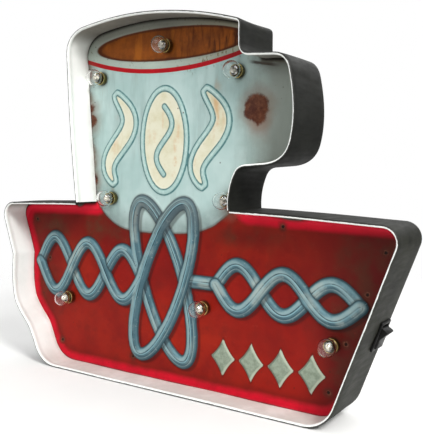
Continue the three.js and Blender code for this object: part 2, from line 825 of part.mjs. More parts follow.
add("switch_housing", "plastic", geometryOf(switchHousing()), switchGroup);
const rockerPivot = new THREE.Group();
rockerPivot.position.x = PIVOT_X;
rockerPivot.rotation.y = (ROCKER_TILT * Math.PI) / 180;
switchGroup.add(rockerPivot);
add("switch_rocker", "plastic", geometryOf(rocker()), rockerPivot).position.x = -PIVOT_X;

add("lamp_wire", "wire", wire(1, 60, lampWire));
add(
  "battery_to_switch_wire",
  "wire",
  wire(0.8, 24, [
    [BOX_X + TRAY.x + TRAY.wall + GAP + 0.2, 19, BOX_Z + 8],
    [BOX_X + 42, 19, BOX_Z + 9],
    [0, 18.5, 108],
    [50, 18, 100],
    [110, 18, 88],
    [150, 14, 82],
    [161, 9, 84],
  ]),
);
add(
  "battery_to_lamp_wire",
  "wire",
  wire(0.8, 12, [
    [BOX_X + TRAY.x + TRAY.wall + GAP + 0.2, 16, BOX_Z - 8],
    [BOX_X + 40, 16, BOX_Z - 9],
    [0, 15, 78],
    [25, 14, 82],
  ]),
);

export default sign;
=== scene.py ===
"""The looks of the lit tin sign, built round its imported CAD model.

The frame is the model's own: +X to the reader's right, +Z up, the face looks along -Y.
Shapes are worked out in millimetres and turned to metres where a mesh is made.
"""

import json
import math
from types import SimpleNamespace

import bpy
import numpy as np
from mathutils import Matrix, Vector


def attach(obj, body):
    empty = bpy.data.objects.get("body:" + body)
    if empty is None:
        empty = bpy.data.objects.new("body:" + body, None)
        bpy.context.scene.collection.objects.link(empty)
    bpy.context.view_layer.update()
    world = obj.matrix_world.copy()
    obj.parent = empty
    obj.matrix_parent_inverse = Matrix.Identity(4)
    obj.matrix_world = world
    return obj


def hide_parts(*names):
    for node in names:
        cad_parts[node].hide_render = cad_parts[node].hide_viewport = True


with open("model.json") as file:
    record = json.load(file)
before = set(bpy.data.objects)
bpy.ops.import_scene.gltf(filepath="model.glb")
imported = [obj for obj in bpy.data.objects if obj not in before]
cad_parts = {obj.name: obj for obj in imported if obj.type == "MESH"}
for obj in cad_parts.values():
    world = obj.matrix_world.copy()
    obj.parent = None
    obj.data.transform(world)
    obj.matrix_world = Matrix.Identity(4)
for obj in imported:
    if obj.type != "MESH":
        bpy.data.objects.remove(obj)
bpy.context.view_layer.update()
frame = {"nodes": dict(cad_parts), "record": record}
MM = 0.001

# ---- sizes, the same as the CAD model's, in millimetres ----
FRONT, REAR = -28.5, 28.5
FACE = 2.5  # the face panel's front surface
SHEET = 1.0
HEM = 2.4
FOOT_HALF = 161.8
FLARE = 0.355
FOOT_RADIUS = 30
TOP = 167.5
WAVE_TOP = 112  # where the left wall's wave starts
TOP_RADIUS = 14
CUP_LEFT, CUP_RIGHT = -110, 68.5
CUP_MIDDLE = -24
LAMPS = [(-22, 320), (-103, 294), (57, 292), (-88, 175), (49, 178), (-146, 68), (25, 78), (153, 63)]
TUBE_HALF = 6.8
KNOT = np.array([CUP_MIDDLE, 98.0])
COVER_BACK = 26.0
HANGERS = [(-74, 292), (26, 292)]
BATTERY_BOX = (-60, 95)

# ---- finer sizes of the visual model, in millimetres, and numbers of steps ----
BEAD_HALF, SLOT_HALF = 2.7, 2.6  # the raised lines round and inside the upper shapes
LOW_HEIGHT, HIGH_HEIGHT = 2.9, 3.3  # how far the tube's two layers stand forward
LAMP_HOLE, SCREW_HOLE = 5.5, 2.3
GLOBE_RADIUS, GLOBE_WALL, GLOBE_HEIGHT = 8, 0.8, 13
FACE_EDGE, COVER_EDGE = 0.8, 3.1  # how far inside the outline each sheet ends
RIB_INSET, RIB_HALF, RIB_HEIGHT = 18, 2.8, 0.9
FACE_GRID, COVER_GRID = 1.6, 1.9
HEM_STEPS, LATHE_STEPS = 9, 48

# ---- camera, light and floor, in metres unless a comment says otherwise ----
CAMERA_ANGLES = (33.32, 4.11, 1.03)  # azimuth, elevation and roll, in degrees
CAMERA_TARGET = (51, -28.5, 165)  # millimetres
CAMERA_DISTANCE = 0.59505
LENS, SENSOR = 57.46, 36  # millimetres
LIGHT_TARGET = (0, 0, 0.17)
FLOOR_RADIUS = 900  # millimetres
FLOOR_DROP = 0.2  # millimetres
FLOOR_SOLID = 0.3  # how far from the middle the floor starts to fade
SKY_LOW, SKY_HIGH = 0.3, 0.85  # strengths


# ---- flat geometry ----
CURVE_STEPS = 24
SPLINE_STEPS = 10


def trace(start, *steps):
    """A path whose steps are each a corner, or a curve's control point and end."""
    made = [np.array(start, float)]
    t = np.linspace(0, 1, CURVE_STEPS + 1)[1:, None]
    for step in steps:
        step = np.array(step, float)
        if step.ndim == 1:
            made.append(step)
        else:
            made.extend((1 - t) ** 2 * made[-1] + 2 * t * (1 - t) * step[0] + t**2 * step[1])
    return np.array(made)


def arc(centre, radius, start, end):
    angle = np.linspace(start, end, CURVE_STEPS + 1)[:, None]
    return np.array(centre, float) + radius * np.hstack([np.cos(angle), np.sin(angle)])


def full_turn(count):
    """Angles spread evenly round a circle."""
    return np.linspace(0, 2 * math.pi, count, endpoint=False)


def pairs(x, z):
    return np.column_stack([x, z])


def join(*parts):
    return np.vstack([np.atleast_2d(np.array(part, float)) for part in parts])


def length_along(path, closed=False):
    points = np.vstack([path, path[:1]]) if closed else path
    steps = np.linalg.norm(np.diff(points, axis=0), axis=1)
    return points, np.concatenate([[0], np.cumsum(steps)])


def evenly(path, spacing, closed=False):
    """The path with its points a set distance apart. A closed one doesn't repeat its first point."""
    points, reach = length_along(path, closed)
    count = max(2, int(round(reach[-1] / spacing)))
    where = np.linspace(0, reach[-1], count + 1)
    even = np.column_stack([np.interp(where, reach, points[:, k]) for k in (0, 1)])
    return even[:-1] if closed else even


def spline(spots):
    """A smooth closed curve through points."""
    points = np.array(spots, float)
    count = len(points)
    made = []
    for i in range(count):
        a, b, c, d = (points[(i + k) % count] for k in (-1, 0, 1, 2))
        for t in np.linspace(0, 1, SPLINE_STEPS, endpoint=False):
            bend = (2 * a - 5 * b + 4 * c - d) * t**2 + (3 * b - a - 3 * c + d) * t**3
            made.append(0.5 * (2 * b + (c - a) * t + bend))
    return np.array(made)


def left_normals(path):
    """The mitred unit step to the path's left at each point."""
    step = np.diff(path, axis=0)
    left = pairs(-step[:, 1], step[:, 0]) / np.linalg.norm(step, axis=1)[:, None]
    first, second = np.vstack([left[:1], left]), np.vstack([left, left[-1:]])
    mitre = first + second
    mitre /= np.linalg.norm(mitre, axis=1)[:, None]
    return mitre / np.maximum((mitre * second).sum(1), 0.5)[:, None]


def nearest(points, path, closed):
    """How far each point is from a path, and the same distance with a sign for the side it is on."""
    line, _ = length_along(path, closed)
    best = np.full(len(points), 1e9)
    side = np.ones(len(points))
    for a, b in zip(line[:-1], line[1:]):
        along = b - a
        size = along @ along
        if size < 1e-12:
            continue
        away = points - a
        share = np.clip(away @ along / size, 0, 1)[:, None]
        distance = np.linalg.norm(away - share * along, axis=1)
        closer = distance < best
        best[closer] = distance[closer]
        side[closer] = np.sign(along[0] * away[closer, 1] - along[1] * away[closer, 0])
    return best, best * side


def to_nearest(points, spots):
    """How far each point is from the nearest spot."""
    return np.min([np.hypot(points[:, 0] - x, points[:, 1] - z) for x, z in spots], axis=0)


def inside_of(points, path):
    """Whether each point is inside a closed path."""
    line, _ = length_along(path, True)
    hit = np.zeros(len(points), bool)
    x, z = points[:, 0], points[:, 1]
    for (ax, az), (bx, bz) in zip(line[:-1], line[1:]):
        if az == bz:
            continue
        crosses = (az > z) != (bz > z)
        hit ^= crosses & (x < (bx - ax) * (z - az) / (bz - az) + ax)
    return hit


def depth_in(points, path):
    """Distance to a closed path, positive inside it."""
    return np.where(inside_of(points, path), 1, -1) * nearest(points, path, True)[0]


def smooth(value, low, high):
    t = np.clip((value - low) / (high - low), 0, 1)
    return t * t * (3 - 2 * t)


# ---- outline ----
def shelf(x):
    return TOP + 4.5 * (1 - (x / 200) ** 2)


def wall_x(z):
    return FOOT_HALF + FLARE * z


LEAN = math.atan(FLARE)
TOP_INSET = TOP_RADIUS / math.tan((math.pi / 2 - LEAN) / 2)
FOOT_INSET = FOOT_RADIUS / math.tan((math.pi / 2 + LEAN) / 2)


def base_path():
    corner = wall_x(TOP)
    foot = (FOOT_HALF + FOOT_INSET * math.sin(LEAN), FOOT_INSET * math.cos(LEAN))
    shelf_x = np.linspace(CUP_LEFT, -(corner - TOP_INSET), 12)
    left_shelf = pairs(shelf_x, shelf(shelf_x))
    right_x = np.linspace(corner - TOP_INSET, CUP_RIGHT, 14)
    return join(
        left_shelf,
        arc((-(corner - TOP_INSET), TOP - TOP_RADIUS), TOP_RADIUS, math.pi / 2, math.pi + LEAN),
        trace(
            (-wall_x(WAVE_TOP), WAVE_TOP),
            ((-204.5, 84), (-199, 64)),
            ((-194.5, 54), (-182, 42)),
            ((-175.5, 35), (-foot[0], foot[1])),
            ((-FOOT_HALF + 1, 1), (-(FOOT_HALF - FOOT_INSET), 0)),
        ),
        arc((FOOT_HALF - FOOT_INSET, FOOT_RADIUS), FOOT_RADIUS, -math.pi / 2, -LEAN),
        arc((corner - TOP_INSET, TOP - TOP_RADIUS), TOP_RADIUS, -LEAN, math.pi / 2),
        pairs(right_x, shelf(right_x))[1:],
    )


def cup_path():
    return trace(
        (CUP_RIGHT, shelf(CUP_RIGHT)),
        ((67, 186), (73, 200.5)),
        ((75.8, 207.6), (83, 208.2)),
        (100, 209.6),
        ((121.5, 211.5), (125.4, 230)),
        ((131, 254), (123.8, 285)),
        ((121, 300), (108, 301)),
        (83, 302.6),
        ((77, 303.5), (76.3, 310)),
        (76, 327),
        ((76, 330.6), (72, 331.9)),
        ((-18, 357.6), (-104.6, 339.7)),
        ((-123.5, 333), (-123.3, 316)),
        ((-119, 235), (CUP_LEFT, shelf(CUP_LEFT))),
    )


BASE = base_path()
CUP = cup_path()
OUTLINE = evenly(join(BASE[:-1], CUP[:-1]), 3, closed=True)

# ---- the art on the face ----
LOOP_HALF = (24, 80)
LOOP_LEAN = math.pi / 9
LEAD_START = (8, 101)
RIGHT_TWIST = ((38, 101), (176, 97), 3, (22, 14))
LEFT_TWIST = ((-190, 103), (-50, 98), 3, (30, 24))
BEAN_MIDDLE, BEAN_HALF = 232, (26, 49)
SLOT_TOP, SLOT_LENGTH, SLOT_SWING = 264, 64, 9
WISP_FOOT, WISP_HEIGHT, WISP_SWING = 190, 88, 13


def tall_loop(lean):
    angle = full_turn(90)
    x, z = LOOP_HALF[0] * np.cos(angle), LOOP_HALF[1] * np.sin(angle)
    c, s = math.cos(lean), math.sin(lean)
    return KNOT + pairs(c * x - s * z, s * x + c * z)


def wave(side, start, end, cells, swings):
    """One of two crossing waves that run from a start to an end, through a number of cells."""
    share = np.linspace(0, 1, 30 * cells)
    swing = (swings[0] + (swings[1] - swings[0]) * share) * np.sin(math.pi * cells * share)
    x, z = (start[k] + (end[k] - start[k]) * share for k in (0, 1))
    return pairs(x, z + side * swing)


def bean():
    angle = full_turn(80)
    x, z = BEAN_HALF[0] * np.cos(angle), BEAN_HALF[1] * np.sin(angle)
    return pairs(CUP_MIDDLE + x, BEAN_MIDDLE + z)


def bean_slot():
    share = np.linspace(0, 1, 40)
    x = CUP_MIDDLE + SLOT_SWING * np.sin(2 * math.pi * share)
    return pairs(x, SLOT_TOP - SLOT_LENGTH * share)


def wisp(x):
    share = np.linspace(0, 1, 50)
    swing = WISP_SWING * np.sin(2 * math.pi * share + 0.4)
    line = pairs(x - swing, WISP_FOOT + WISP_HEIGHT * share)
    width = (2.5 + 7 * np.sin(math.pi * share) ** 0.6)[:, None]
    side = left_normals(line)
    return join(line + side * width, (line - side * width)[::-1])


def star(x, z, half_width, half_height):
    """A four-pointed star with hollow sides."""
    angle = full_turn(48)
    return np.column_stack([
        x + half_width * np.sign(np.cos(angle)) * np.abs(np.cos(angle)) ** 2.5,
        z + half_height * np.sign(np.sin(angle)) * np.abs(np.sin(angle)) ** 2.5,
    ])


def strokes(side, lead):
    """A layer of the tube: a loop and one wave of each twist, and whether each is closed."""
    right = join(*lead, wave(side, *RIGHT_TWIST))
    return [(tall_loop(side * LOOP_LEAN), True), (right, False), (wave(side, *LEFT_TWIST), False)]


# The upper layer crosses over the lower one.
LAYERS = {"low": strokes(1, [LEAD_START]), "high": strokes(-1, [])}
STARS = [star(x, 34.5, 13.5, 18.5) for x in (46, 75.5, 105, 134.5)]
CUP_ZONE = spline([
    (-114, 176), (-100, 160), (-84, 149), (-66, 144), (-41, 143), (-12, 144), (14, 147), (34, 155),
    (49, 166), (60, 175), (140, 178), (140, 360), (-140, 360), (-140, 178),
])
RUST = [(76, 261, 12), (71, 257, 8), (78, 253, 8), (-118, 252, 8), (-118, 264, 5), (-117, 214, 5),
        (-114, 192, 6), (-120, 300, 4), (51, 172, 5)]
NAILS = [(-197, 148), (-178, 107), (-158, 20), (195, 143), (181, 108), (164, 65), (150, 22),
         (-60, 18), (104, 158)]
OVAL = (-22, 322, 88, 15.5)  # the drink's surface: middle and half sizes
TO_LIGHT, TO_SHADE = (-2.6, 1.9), (3.2, -2.4)  # from the tube's middle to its lit and shaded lines
# Soft patches on the base, as x, z and half sizes: where the red is warmer, and where it is darker with
# dirt and with painted shade near the walls.
WARM = [(75, 138, 80, 30), (-150, 110, 45, 45), (-20, 40, 130, 45)]
DIRT_AND_SHADE = [(195, 140, 38, 60), (-165, 146, 50, 24), (-92, 146, 38, 20), (165, 60, 22, 60),
         (70, 146, 36, 9), (-175, 80, 16, 50)]


def patches(p, spots):
    """Soft round patches added together, up to 1."""
    total = 0
    for x, z, w, h in spots:
        total = total + np.exp(-(((p[:, 0] - x) / w) ** 2) - ((p[:, 1] - z) / h) ** 2)
    return np.minimum(total, 1)


def rim_line(x):
    """Height of the red stripe's middle at x."""
    return 297.5 + 13 * np.abs((x + 26) / 92) ** 2.1


def stroke_fields(p, layer):
    """Distances to a layer's middle line: plain, with its side, and from the light and shaded sides."""
    def measure(move):
        found = [nearest(p - np.array(move), *stroke) for stroke in LAYERS[layer]]
        return (np.array(distances) for distances in zip(*found))

    plain, signed = measure((0, 0))
    light, _ = measure(TO_LIGHT)
    shade, _ = measure(TO_SHADE)
    return {
        layer: plain.min(0),
        f"{layer}_side": signed[plain.argmin(0), np.arange(len(p))],
        f"{layer}_light": light.min(0),
        f"{layer}_shade": shade.min(0),
    }


def face_fields(p):
    """The distances that shape and paint the face, for points in x and z."""
    motif = np.max([depth_in(p, shape) for shape in (bean(), wisp(-80), wisp(27))], axis=0)
    oval = np.hypot((p[:, 0] - OVAL[0]) / OVAL[2], (p[:, 1] - OVAL[1]) / OVAL[3])
    stars = [np.max([depth_in(p + np.array([move, 0]), shape) for shape in STARS], axis=0)
             for move in (0, 1.6)]
    return {
        **stroke_fields(p, "low"),
        **stroke_fields(p, "high"),
        "motif": motif,
        "slot": nearest(p, bean_slot(), False)[0],
        "star": stars[0],
        "star_side": stars[1],
        "edge": depth_in(p, OUTLINE),
        "top_edge": depth_in(p + np.array([0, 3.0]), OUTLINE),
        "cup": depth_in(p, CUP_ZONE),
        "oval": (1 - oval) * OVAL[3] * (0.6 + 0.9 * np.abs(p[:, 0] - OVAL[0]) / OVAL[2]),
        "stripe": p[:, 1] - rim_line(p[:, 0]),
        "rust": np.min([np.hypot(p[:, 0] - x, p[:, 1] - z) - r for x, z, r in RUST], axis=0),
        "nail": to_nearest(p, NAILS),
        "lamp": to_nearest(p, LAMPS),
        "warm": patches(p, WARM),
        "dirt_and_shade": patches(p, DIRT_AND_SHADE),
    }


def gentle(x, z, wave_length, seed):
    """Slow unevenness of hand-bent tin, between about -1 and 1."""
    made = 0
    for k in range(5):
        a = seed * 1.7 + k * 2.4
        scale = 2 * math.pi / wave_length * (0.7 + 0.23 * k)
        made = made + np.sin(scale * (x * math.cos(a) + z * math.sin(a)) + 3.1 * a)
    return made / 3


def dome(distance, half, power=0.6):
    return np.clip(1 - (distance / half) ** 2, 0, 1) ** power


def relief(p, f):
    """How far the pressed face stands forward."""
    motif = np.abs(f["motif"])
    beads = np.maximum(1.4 * dome(motif, BEAD_HALF), 1.3 * dome(f["slot"], SLOT_HALF))
    fill = 0.5 * smooth(f["motif"], 0, 3)
    tube = LOW_HEIGHT * dome(f["low"], TUBE_HALF, 0.55)
    tube = np.maximum(tube, HIGH_HEIGHT * dome(f["high"], TUBE_HALF, 0.55))
    on_cup = smooth(f["cup"], -1, 1)
    border = 1.2 * (1 - on_cup) * (1 - smooth(f["edge"], 5.0, 10.5))
    rim = on_cup * (0.9 * smooth(f["stripe"], 2, 4) - 1.2 * smooth(f["oval"], -1, 1.2))
    ring = 0.8 * dome(np.abs(f["stripe"]), 3)
    stars = 0.8 * smooth(f["star"], 0, 1.6)
    shape = np.maximum.reduce([beads, fill, tube, stars]) + border + 0.7 * on_cup + rim + on_cup * ring
    dents = 0.35 * gentle(p[:, 0], p[:, 1], 130, 1.3) + 0.1 * gentle(p[:, 0], p[:, 1], 34, 4.1)
    nails = -0.9 * np.exp(-((f["nail"] / 1.8) ** 2)) + 0.25 * np.exp(-(((f["nail"] - 3.2) / 1.2) ** 2))
    return shape * smooth(f["lamp"], 6.8, 8.8) + dents + nails


# ---- mesh making ----
def add_object(name, data):
    made = bpy.data.objects.new(name, data)
    bpy.context.scene.collection.objects.link(made)
    return made


def mesh_object(name, points, faces, materials, indices=None):
    """A new object from points in millimetres."""
    mesh = bpy.data.meshes.new(name)
    mesh.from_pydata((np.asarray(points, float) * MM).tolist(), [], [list(map(int, f)) for f in faces])
    for material in materials:
        mesh.materials.append(material)
    if indices is not None:
        mesh.polygons.foreach_set("material_index", np.asarray(indices, np.int32))
    mesh.shade_smooth()
    mesh.update()
    return add_object(name, mesh)


def set_fields(made, fields):
    """Values at each point, for the materials."""
    for name, values in fields.items():
        attribute = made.data.attributes.new(name, "FLOAT", "POINT")
        attribute.data.foreach_set("value", values.astype(np.float32))


def tin_sheet(name, flat, y, faces, material, thickness, side):
    """A sheet over flat points, y behind the middle, thickened to one side of that surface."""
    made = mesh_object(name, np.column_stack([flat[:, 0], y, flat[:, 1]]), faces, [material])
    shell = made.modifiers.new("thickness", "SOLIDIFY")
    shell.thickness = thickness * MM
    shell.offset = side
    return made


def sharpen(made, angle):
    """Edges steeper than the angle stay sharp."""
    made.data.set_sharp_from_angle(angle=math.radians(angle))


def soften(made, width):
    """Smooth shading for a CAD piece, with rounded edges when a width in millimetres is given."""
    made.data.shade_smooth()
    sharpen(made, 35)
    if width is None:
        return
    weld = made.modifiers.new("weld", "WELD")
    weld.merge_threshold = 1e-6
    bevel = made.modifiers.new("edges", "BEVEL")
    bevel.width = width * MM
    bevel.segments = 2
    bevel.limit_method = "ANGLE"
    bevel.angle_limit = math.radians(40)
    bevel.harden_normals = True


def finish_piece(made, node):
    """Hides the CAD node that the piece stands for and attaches the piece to the sign's body."""
    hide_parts(node)
    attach(made, "sign")


def lathe(name, profile, materials, indices=None):
    """A closed profile of (radius, height ahead of the face) turned about the Y axis at the origin."""
    profile = np.array(profile, float)
    count = len(profile)
    angle = full_turn(LATHE_STEPS)
    points, index = [], np.zeros((count, LATHE_STEPS), int)
    for i, (radius, height) in enumerate(profile):
        if radius < 1e-6:
            index[i] = len(points)
            points.append((0, -height, 0))
        else:
            index[i] = len(points) + np.arange(LATHE_STEPS)
            points += [(radius * math.cos(a), -height, radius * math.sin(a)) for a in angle]
    faces, kinds = [], []
    for i in range(count):
        j = (i + 1) % count
        for k in range(LATHE_STEPS):
            m = (k + 1) % LATHE_STEPS
            corners = [index[i, k], index[i, m], index[j, m], index[j, k]]
            corners = [c for n, c in enumerate(corners) if c != corners[n - 1]]
            if len(set(corners)) > 2:
                faces.append(corners)
                kinds.append(indices[i] if indices else 0)
    return mesh_object(name, points, faces, materials, indices=kinds)


def place(made, x, y, z):
    made.data.transform(Matrix.Translation(Vector((x, y, z)) * MM))


# ---- materials ----
def rgb(code):
    """Linear colour of a hexadecimal screen colour."""
    values = [int(code[i : i + 2], 16) / 255 for i in (0, 2, 4)]
    return [v / 12.92 if v <= 0.04045 else ((v + 0.055) / 1.055) ** 2.4 for v in values] + [1]


def range_node(nodes, low, high, start, end):
    """A node that turns low to high smoothly into start to end."""
    node = nodes.new("ShaderNodeMapRange")
    node.interpolation_type = "SMOOTHSTEP"
    for key, number in (("From Min", low), ("From Max", high), ("To Min", start), ("To Max", end)):
        node.inputs[key].default_value = number
    return node


class Value:
    """A node's output that can be added, multiplied and ramped."""

    def __init__(self, look, socket):
        self.look, self.socket = look, socket

    def __add__(self, other):
        return self.look.math("ADD", self, other)

    def __sub__(self, other):
        return self.look.math("SUBTRACT", self, other)

    def __mul__(self, other):
        return self.look.math("MULTIPLY", self, other)

    def ramp(self, low, high, start=0.0, end=1.0):
        node = range_node(self.look.nodes, low, high, start, end)
        self.look.put(node.inputs["Value"], self)
        return Value(self.look, node.outputs[0])

    def gap(self, middle=0.0):
        """How far the value is from a middle."""
        return self.look.math("ABSOLUTE", self - middle if middle else self)


class Look:
    """A material built from short node expressions."""

    def __init__(self, name, color="808080", roughness=0.5, metallic=0.0, **sockets):
        self.material = bpy.data.materials.new(name)
        self.material.use_nodes = True
        self.nodes = self.material.node_tree.nodes
        self.links = self.material.node_tree.links
        self.shader = self.nodes["Principled BSDF"]
        self.coordinates = self.nodes.new("ShaderNodeTexCoord").outputs["Object"]
        sockets.update(Base_Color=rgb(color), Roughness=roughness, Metallic=metallic)
        for key, value in sockets.items():
            self.shader.inputs[key.replace("_", " ")].default_value = value

    def put(self, socket, value):
        if isinstance(value, Value):
            self.links.new(value.socket, socket)
        else:
            socket.default_value = rgb(value) if isinstance(value, str) else value

    def field(self, name):
        node = self.nodes.new("ShaderNodeAttribute")
        node.attribute_name = name
        return Value(self, node.outputs["Fac"])

    def where(self, stretch=(1, 1, 1)):
        if stretch == (1, 1, 1):
            return self.coordinates
        node = self.nodes.new("ShaderNodeMapping")
        self.links.new(self.coordinates, node.inputs["Vector"])
        node.inputs["Scale"].default_value = stretch
        return node.outputs["Vector"]

    def axis(self, name):
        node = self.nodes.new("ShaderNodeSeparateXYZ")
        self.links.new(self.coordinates, node.inputs[0])
        return Value(self, node.outputs[name])

    def along(self, name, *limits):
        """A ramp along an axis, in metres."""
        return self.axis(name).ramp(*limits)

    def noise(self, size, detail, roughness=0.6, stretch=(1, 1, 1), distortion=0.0):
        """Noise whose features are about size millimetres across."""
        node = self.nodes.new("ShaderNodeTexNoise")
        self.links.new(self.where(stretch), node.inputs["Vector"])
        for key, number in (("Scale", 1 / (size * MM)), ("Detail", detail), ("Roughness", roughness),
                            ("Distortion", distortion)):
            node.inputs[key].default_value = number
        return Value(self, node.outputs["Fac"])

    def cells(self, size):
        node = self.nodes.new("ShaderNodeTexVoronoi")
        self.links.new(self.coordinates, node.inputs["Vector"])
        node.inputs["Scale"].default_value = 1 / (size * MM)
        return Value(self, node.outputs["Distance"])

    def math(self, kind, a, b=0.0):
        node = self.nodes.new("ShaderNodeMath")
        node.operation = kind
        self.put(node.inputs[0], a)
        self.put(node.inputs[1], b)
        return Value(self, node.outputs[0])

    def mix(self, share, under, over):
        node = self.nodes.new("ShaderNodeMix")
        node.data_type = "RGBA"
        for key, value in (("Factor", share), ("A", under), ("B", over)):
            self.put(node.inputs[key], value)
        return Value(self, node.outputs["Result"])

    def tint(self, under, over, value, *limits):
        """One colour over another where a value ramps up."""
        return self.mix(value.ramp(*limits), under, over)

    def coats(self, under, *coats):
        """Colours laid on one after another, each with its share."""
        for color, share in coats:
            under = self.mix(share, under, color)
        return under

    def done(self, color=None, rough=None, grain=None, depth=0.0):
        """The finished material; its surface detail stands depth millimetres high."""
        if color:
            self.put(self.shader.inputs["Base Color"], color)
        if rough:
            self.put(self.shader.inputs["Roughness"], rough)
        if grain:
            node = self.nodes.new("ShaderNodeBump")
            node.inputs["Distance"].default_value = depth * MM
            self.put(node.inputs["Height"], grain)
            self.links.new(node.outputs["Normal"], self.shader.inputs["Normal"])
        return self.material


def red_ground(look, noise):
    """The base's red: warmer patches, darker patches of dirt and painted shade, painted shade towards
    the right, and a brighter border that fades inwards, with painted light along its top.
    """
    uneven = noise.broad * 0.6 + noise.mottle * 0.4
    red = look.tint("720907", "8e1009", uneven, 0.35, 0.65)
    warm = look.field("warm") * uneven.ramp(0.35, 0.6, 0.2, 0.9)
    # Darker patches: dirt, and painted shade near the walls.
    dirt_and_shade_share = look.field("dirt_and_shade") * uneven.ramp(0.3, 0.65, 0.35, 1.0)
    blots = noise.cloud.ramp(0.42, 0.6) * noise.mottle.ramp(0.38, 0.6, 0.3, 1)
    edge = look.field("edge") + (noise.mottle - 0.5) * 3.5
    red = look.coats(
        red,
        ("a3240a", warm),
        ("5c120e", noise.mottle.ramp(0.42, 0.75, 0, 0.55)),
        ("3f0c08", dirt_and_shade_share * 0.7),
        ("573420", blots * look.field("dirt_and_shade") * 0.75),
        ("a33a2c", noise.fine.ramp(0.6, 0.72) * 0.3),
        ("4e100e", edge.ramp(8, 16, 0.4, 0)),
    )
    edge = edge + look.along("Z", 0.145, 0.158, 0, -5.5)
    border = look.tint("cc0a26", "a20c1e", noise.mottle, 0.4, 0.7, 0, 0.6)
    border = look.coats(
        border,
        ("6f0c14", look.field("dirt_and_shade") * 0.5),
        # Darker towards the right: painted shade from the right-hand wall.
        ("7a0c18", look.along("X", 0.12, 0.19, 0, 0.55)),
        ("e0314a", edge.ramp(0.8, 3.4, 0.55, 0)),
        # Brighter along the top: painted light where the top wall casts shade.
        ("e5102f", look.along("Z", 0.153, 0.161, 0, 0.6)),
    )
    # Painted shade towards the right-hand wall.
    red = look.mix(look.along("X", 0.09, 0.2, 0, 0.45), red, "4a0a08")
    return look.tint(red, border, edge, 5.0, 11.5, 1, 0)


def cup_ground(look, noise):
    """The cup's pale aqua, greyer and browner at its foot and down the runs, and to the right with dirt
    and painted shade from the handle's wall; a painted shadow line across the handle's top and painted
    shade under the top walls.
    """
    aqua = look.tint("a5c0bd", "b8cecb", noise.broad, 0.35, 0.65)
    # Greyer and browner to the right: dirt, and painted shade from the handle's wall.
    right_dirt_and_shade = look.axis("X") + (noise.mottle - 0.5) * 0.03
    stain = noise.runs.ramp(0.55, 0.72) * noise.mottle.ramp(0.5, 0.72)
    foot = look.field("cup").ramp(0, 26, 1, 0) * noise.mottle.ramp(0.3, 0.6, 0.5, 1)
    below_rust = look.along("Z", 0.225, 0.25) * look.along("Z", 0.262, 0.256, 0, 1)
    streak = look.axis("X").gap(0.078).ramp(0.004, 0.016, 1, 0)
    # A painted shadow line across the handle's top.
    handle_shadow_line = look.axis("Z") + look.axis("X") * 0.16 + noise.wobble * 0.0012
    slot = handle_shadow_line.gap(0.3105).ramp(0.0006, 0.002, 1, 0)
    on_handle = look.along("X", 0.066, 0.074) * look.along("X", 0.086, 0.1, 1, 0)
    edge = look.field("edge") + noise.wobble
    worn = edge.ramp(2, 7, 1, 0) * noise.mottle.ramp(0.42, 0.6, 0.1, 0.8)
    # Painted shade under the top walls.
    high = look.field("top_edge").ramp(0, 14, 0.5, 0)
    aqua = look.coats(
        aqua,
        ("8ba3a0", noise.runs.ramp(0.45, 0.75, 0, 0.6)),
        ("7b7a6f", right_dirt_and_shade.ramp(0.045, 0.1, 0, 0.75)),
        ("b48a5e", stain * 0.45),
        ("626c69", foot * 0.6),
        ("94705f", below_rust * streak * 0.5),
        # the painted shadow line across the handle's top
        ("2a1714", slot * on_handle * 0.9),
        ("77705f", worn),
    )
    return look.mix(high * noise.mottle.ramp(0.3, 0.6, 0.3, 1), aqua, "4b443a")


def rim_art(look, noise, under):
    """The drink's surface, a pale ring round it, and the red stripe below, darker to the right with
    dirt and painted shade.
    """
    slight = noise.wobble * 0.25
    stripe = look.field("stripe") + slight
    oval = look.field("oval") + slight
    ring = look.mix(look.along("Z", 0.31, 0.34, 0, 0.75), "b0bdb3", "6f6b60")
    scuffs = noise.fine.ramp(0.58, 0.66) * noise.mottle.ramp(0.4, 0.6)
    dashes = look.noise(2.6, 4, 0.7, stretch=(1, 1, 0.35))
    worn = dashes.ramp(0.56, 0.62) * look.along("X", 0.0, 0.02, 0, 0.85)
    marks = dashes.ramp(0.57, 0.63) * stripe.ramp(-11, -4) * look.along("X", -0.01, 0.01)
    ring = look.coats(
        ring,
        ("8d8266", look.along("X", -0.03, 0.06, 0, 0.5)),
        ("5f5238", scuffs * 0.8),
        ("6b5a34", worn * stripe.ramp(9, 5)),
    )
    streaks = look.noise(7, 6, 0.65, stretch=(1, 1, 0.22), distortion=0.4)
    drink = look.tint("7c4013", "9a5318", noise.mottle, 0.35, 0.7)
    to_right = look.along("X", -0.06, 0.05, 0.12, 0.9)
    under = look.coats(
        under,
        ("6b5a34", marks * noise.mottle.ramp(0.4, 0.55) * 0.7),
        (ring, stripe.ramp(1.8, 2.6)),
    )
    drink = look.coats(
        drink,
        ("2e1207", streaks.ramp(0.42, 0.66) * to_right),
        ("b8691c", noise.runs.ramp(0.52, 0.68) * 0.55),
        ("3f1d10", oval.ramp(0.9, 2.4, 0.75, 0)),
    )
    line = stripe.ramp(-2.2, -1.8) * stripe.ramp(2.0, 2.4, 1, 0)
    red = look.tint("b00f1b", "7d1219", noise.fine, 0.45, 0.75, 0, 0.5)
    under = look.tint(under, drink, oval, -0.4, 0.4)
    # Darker to the right: dirt, and painted shade from the handle's wall.
    red = look.mix(look.along("X", 0.03, 0.07, 0, 0.5), red, "5d1014")
    return look.mix(line, under, red)


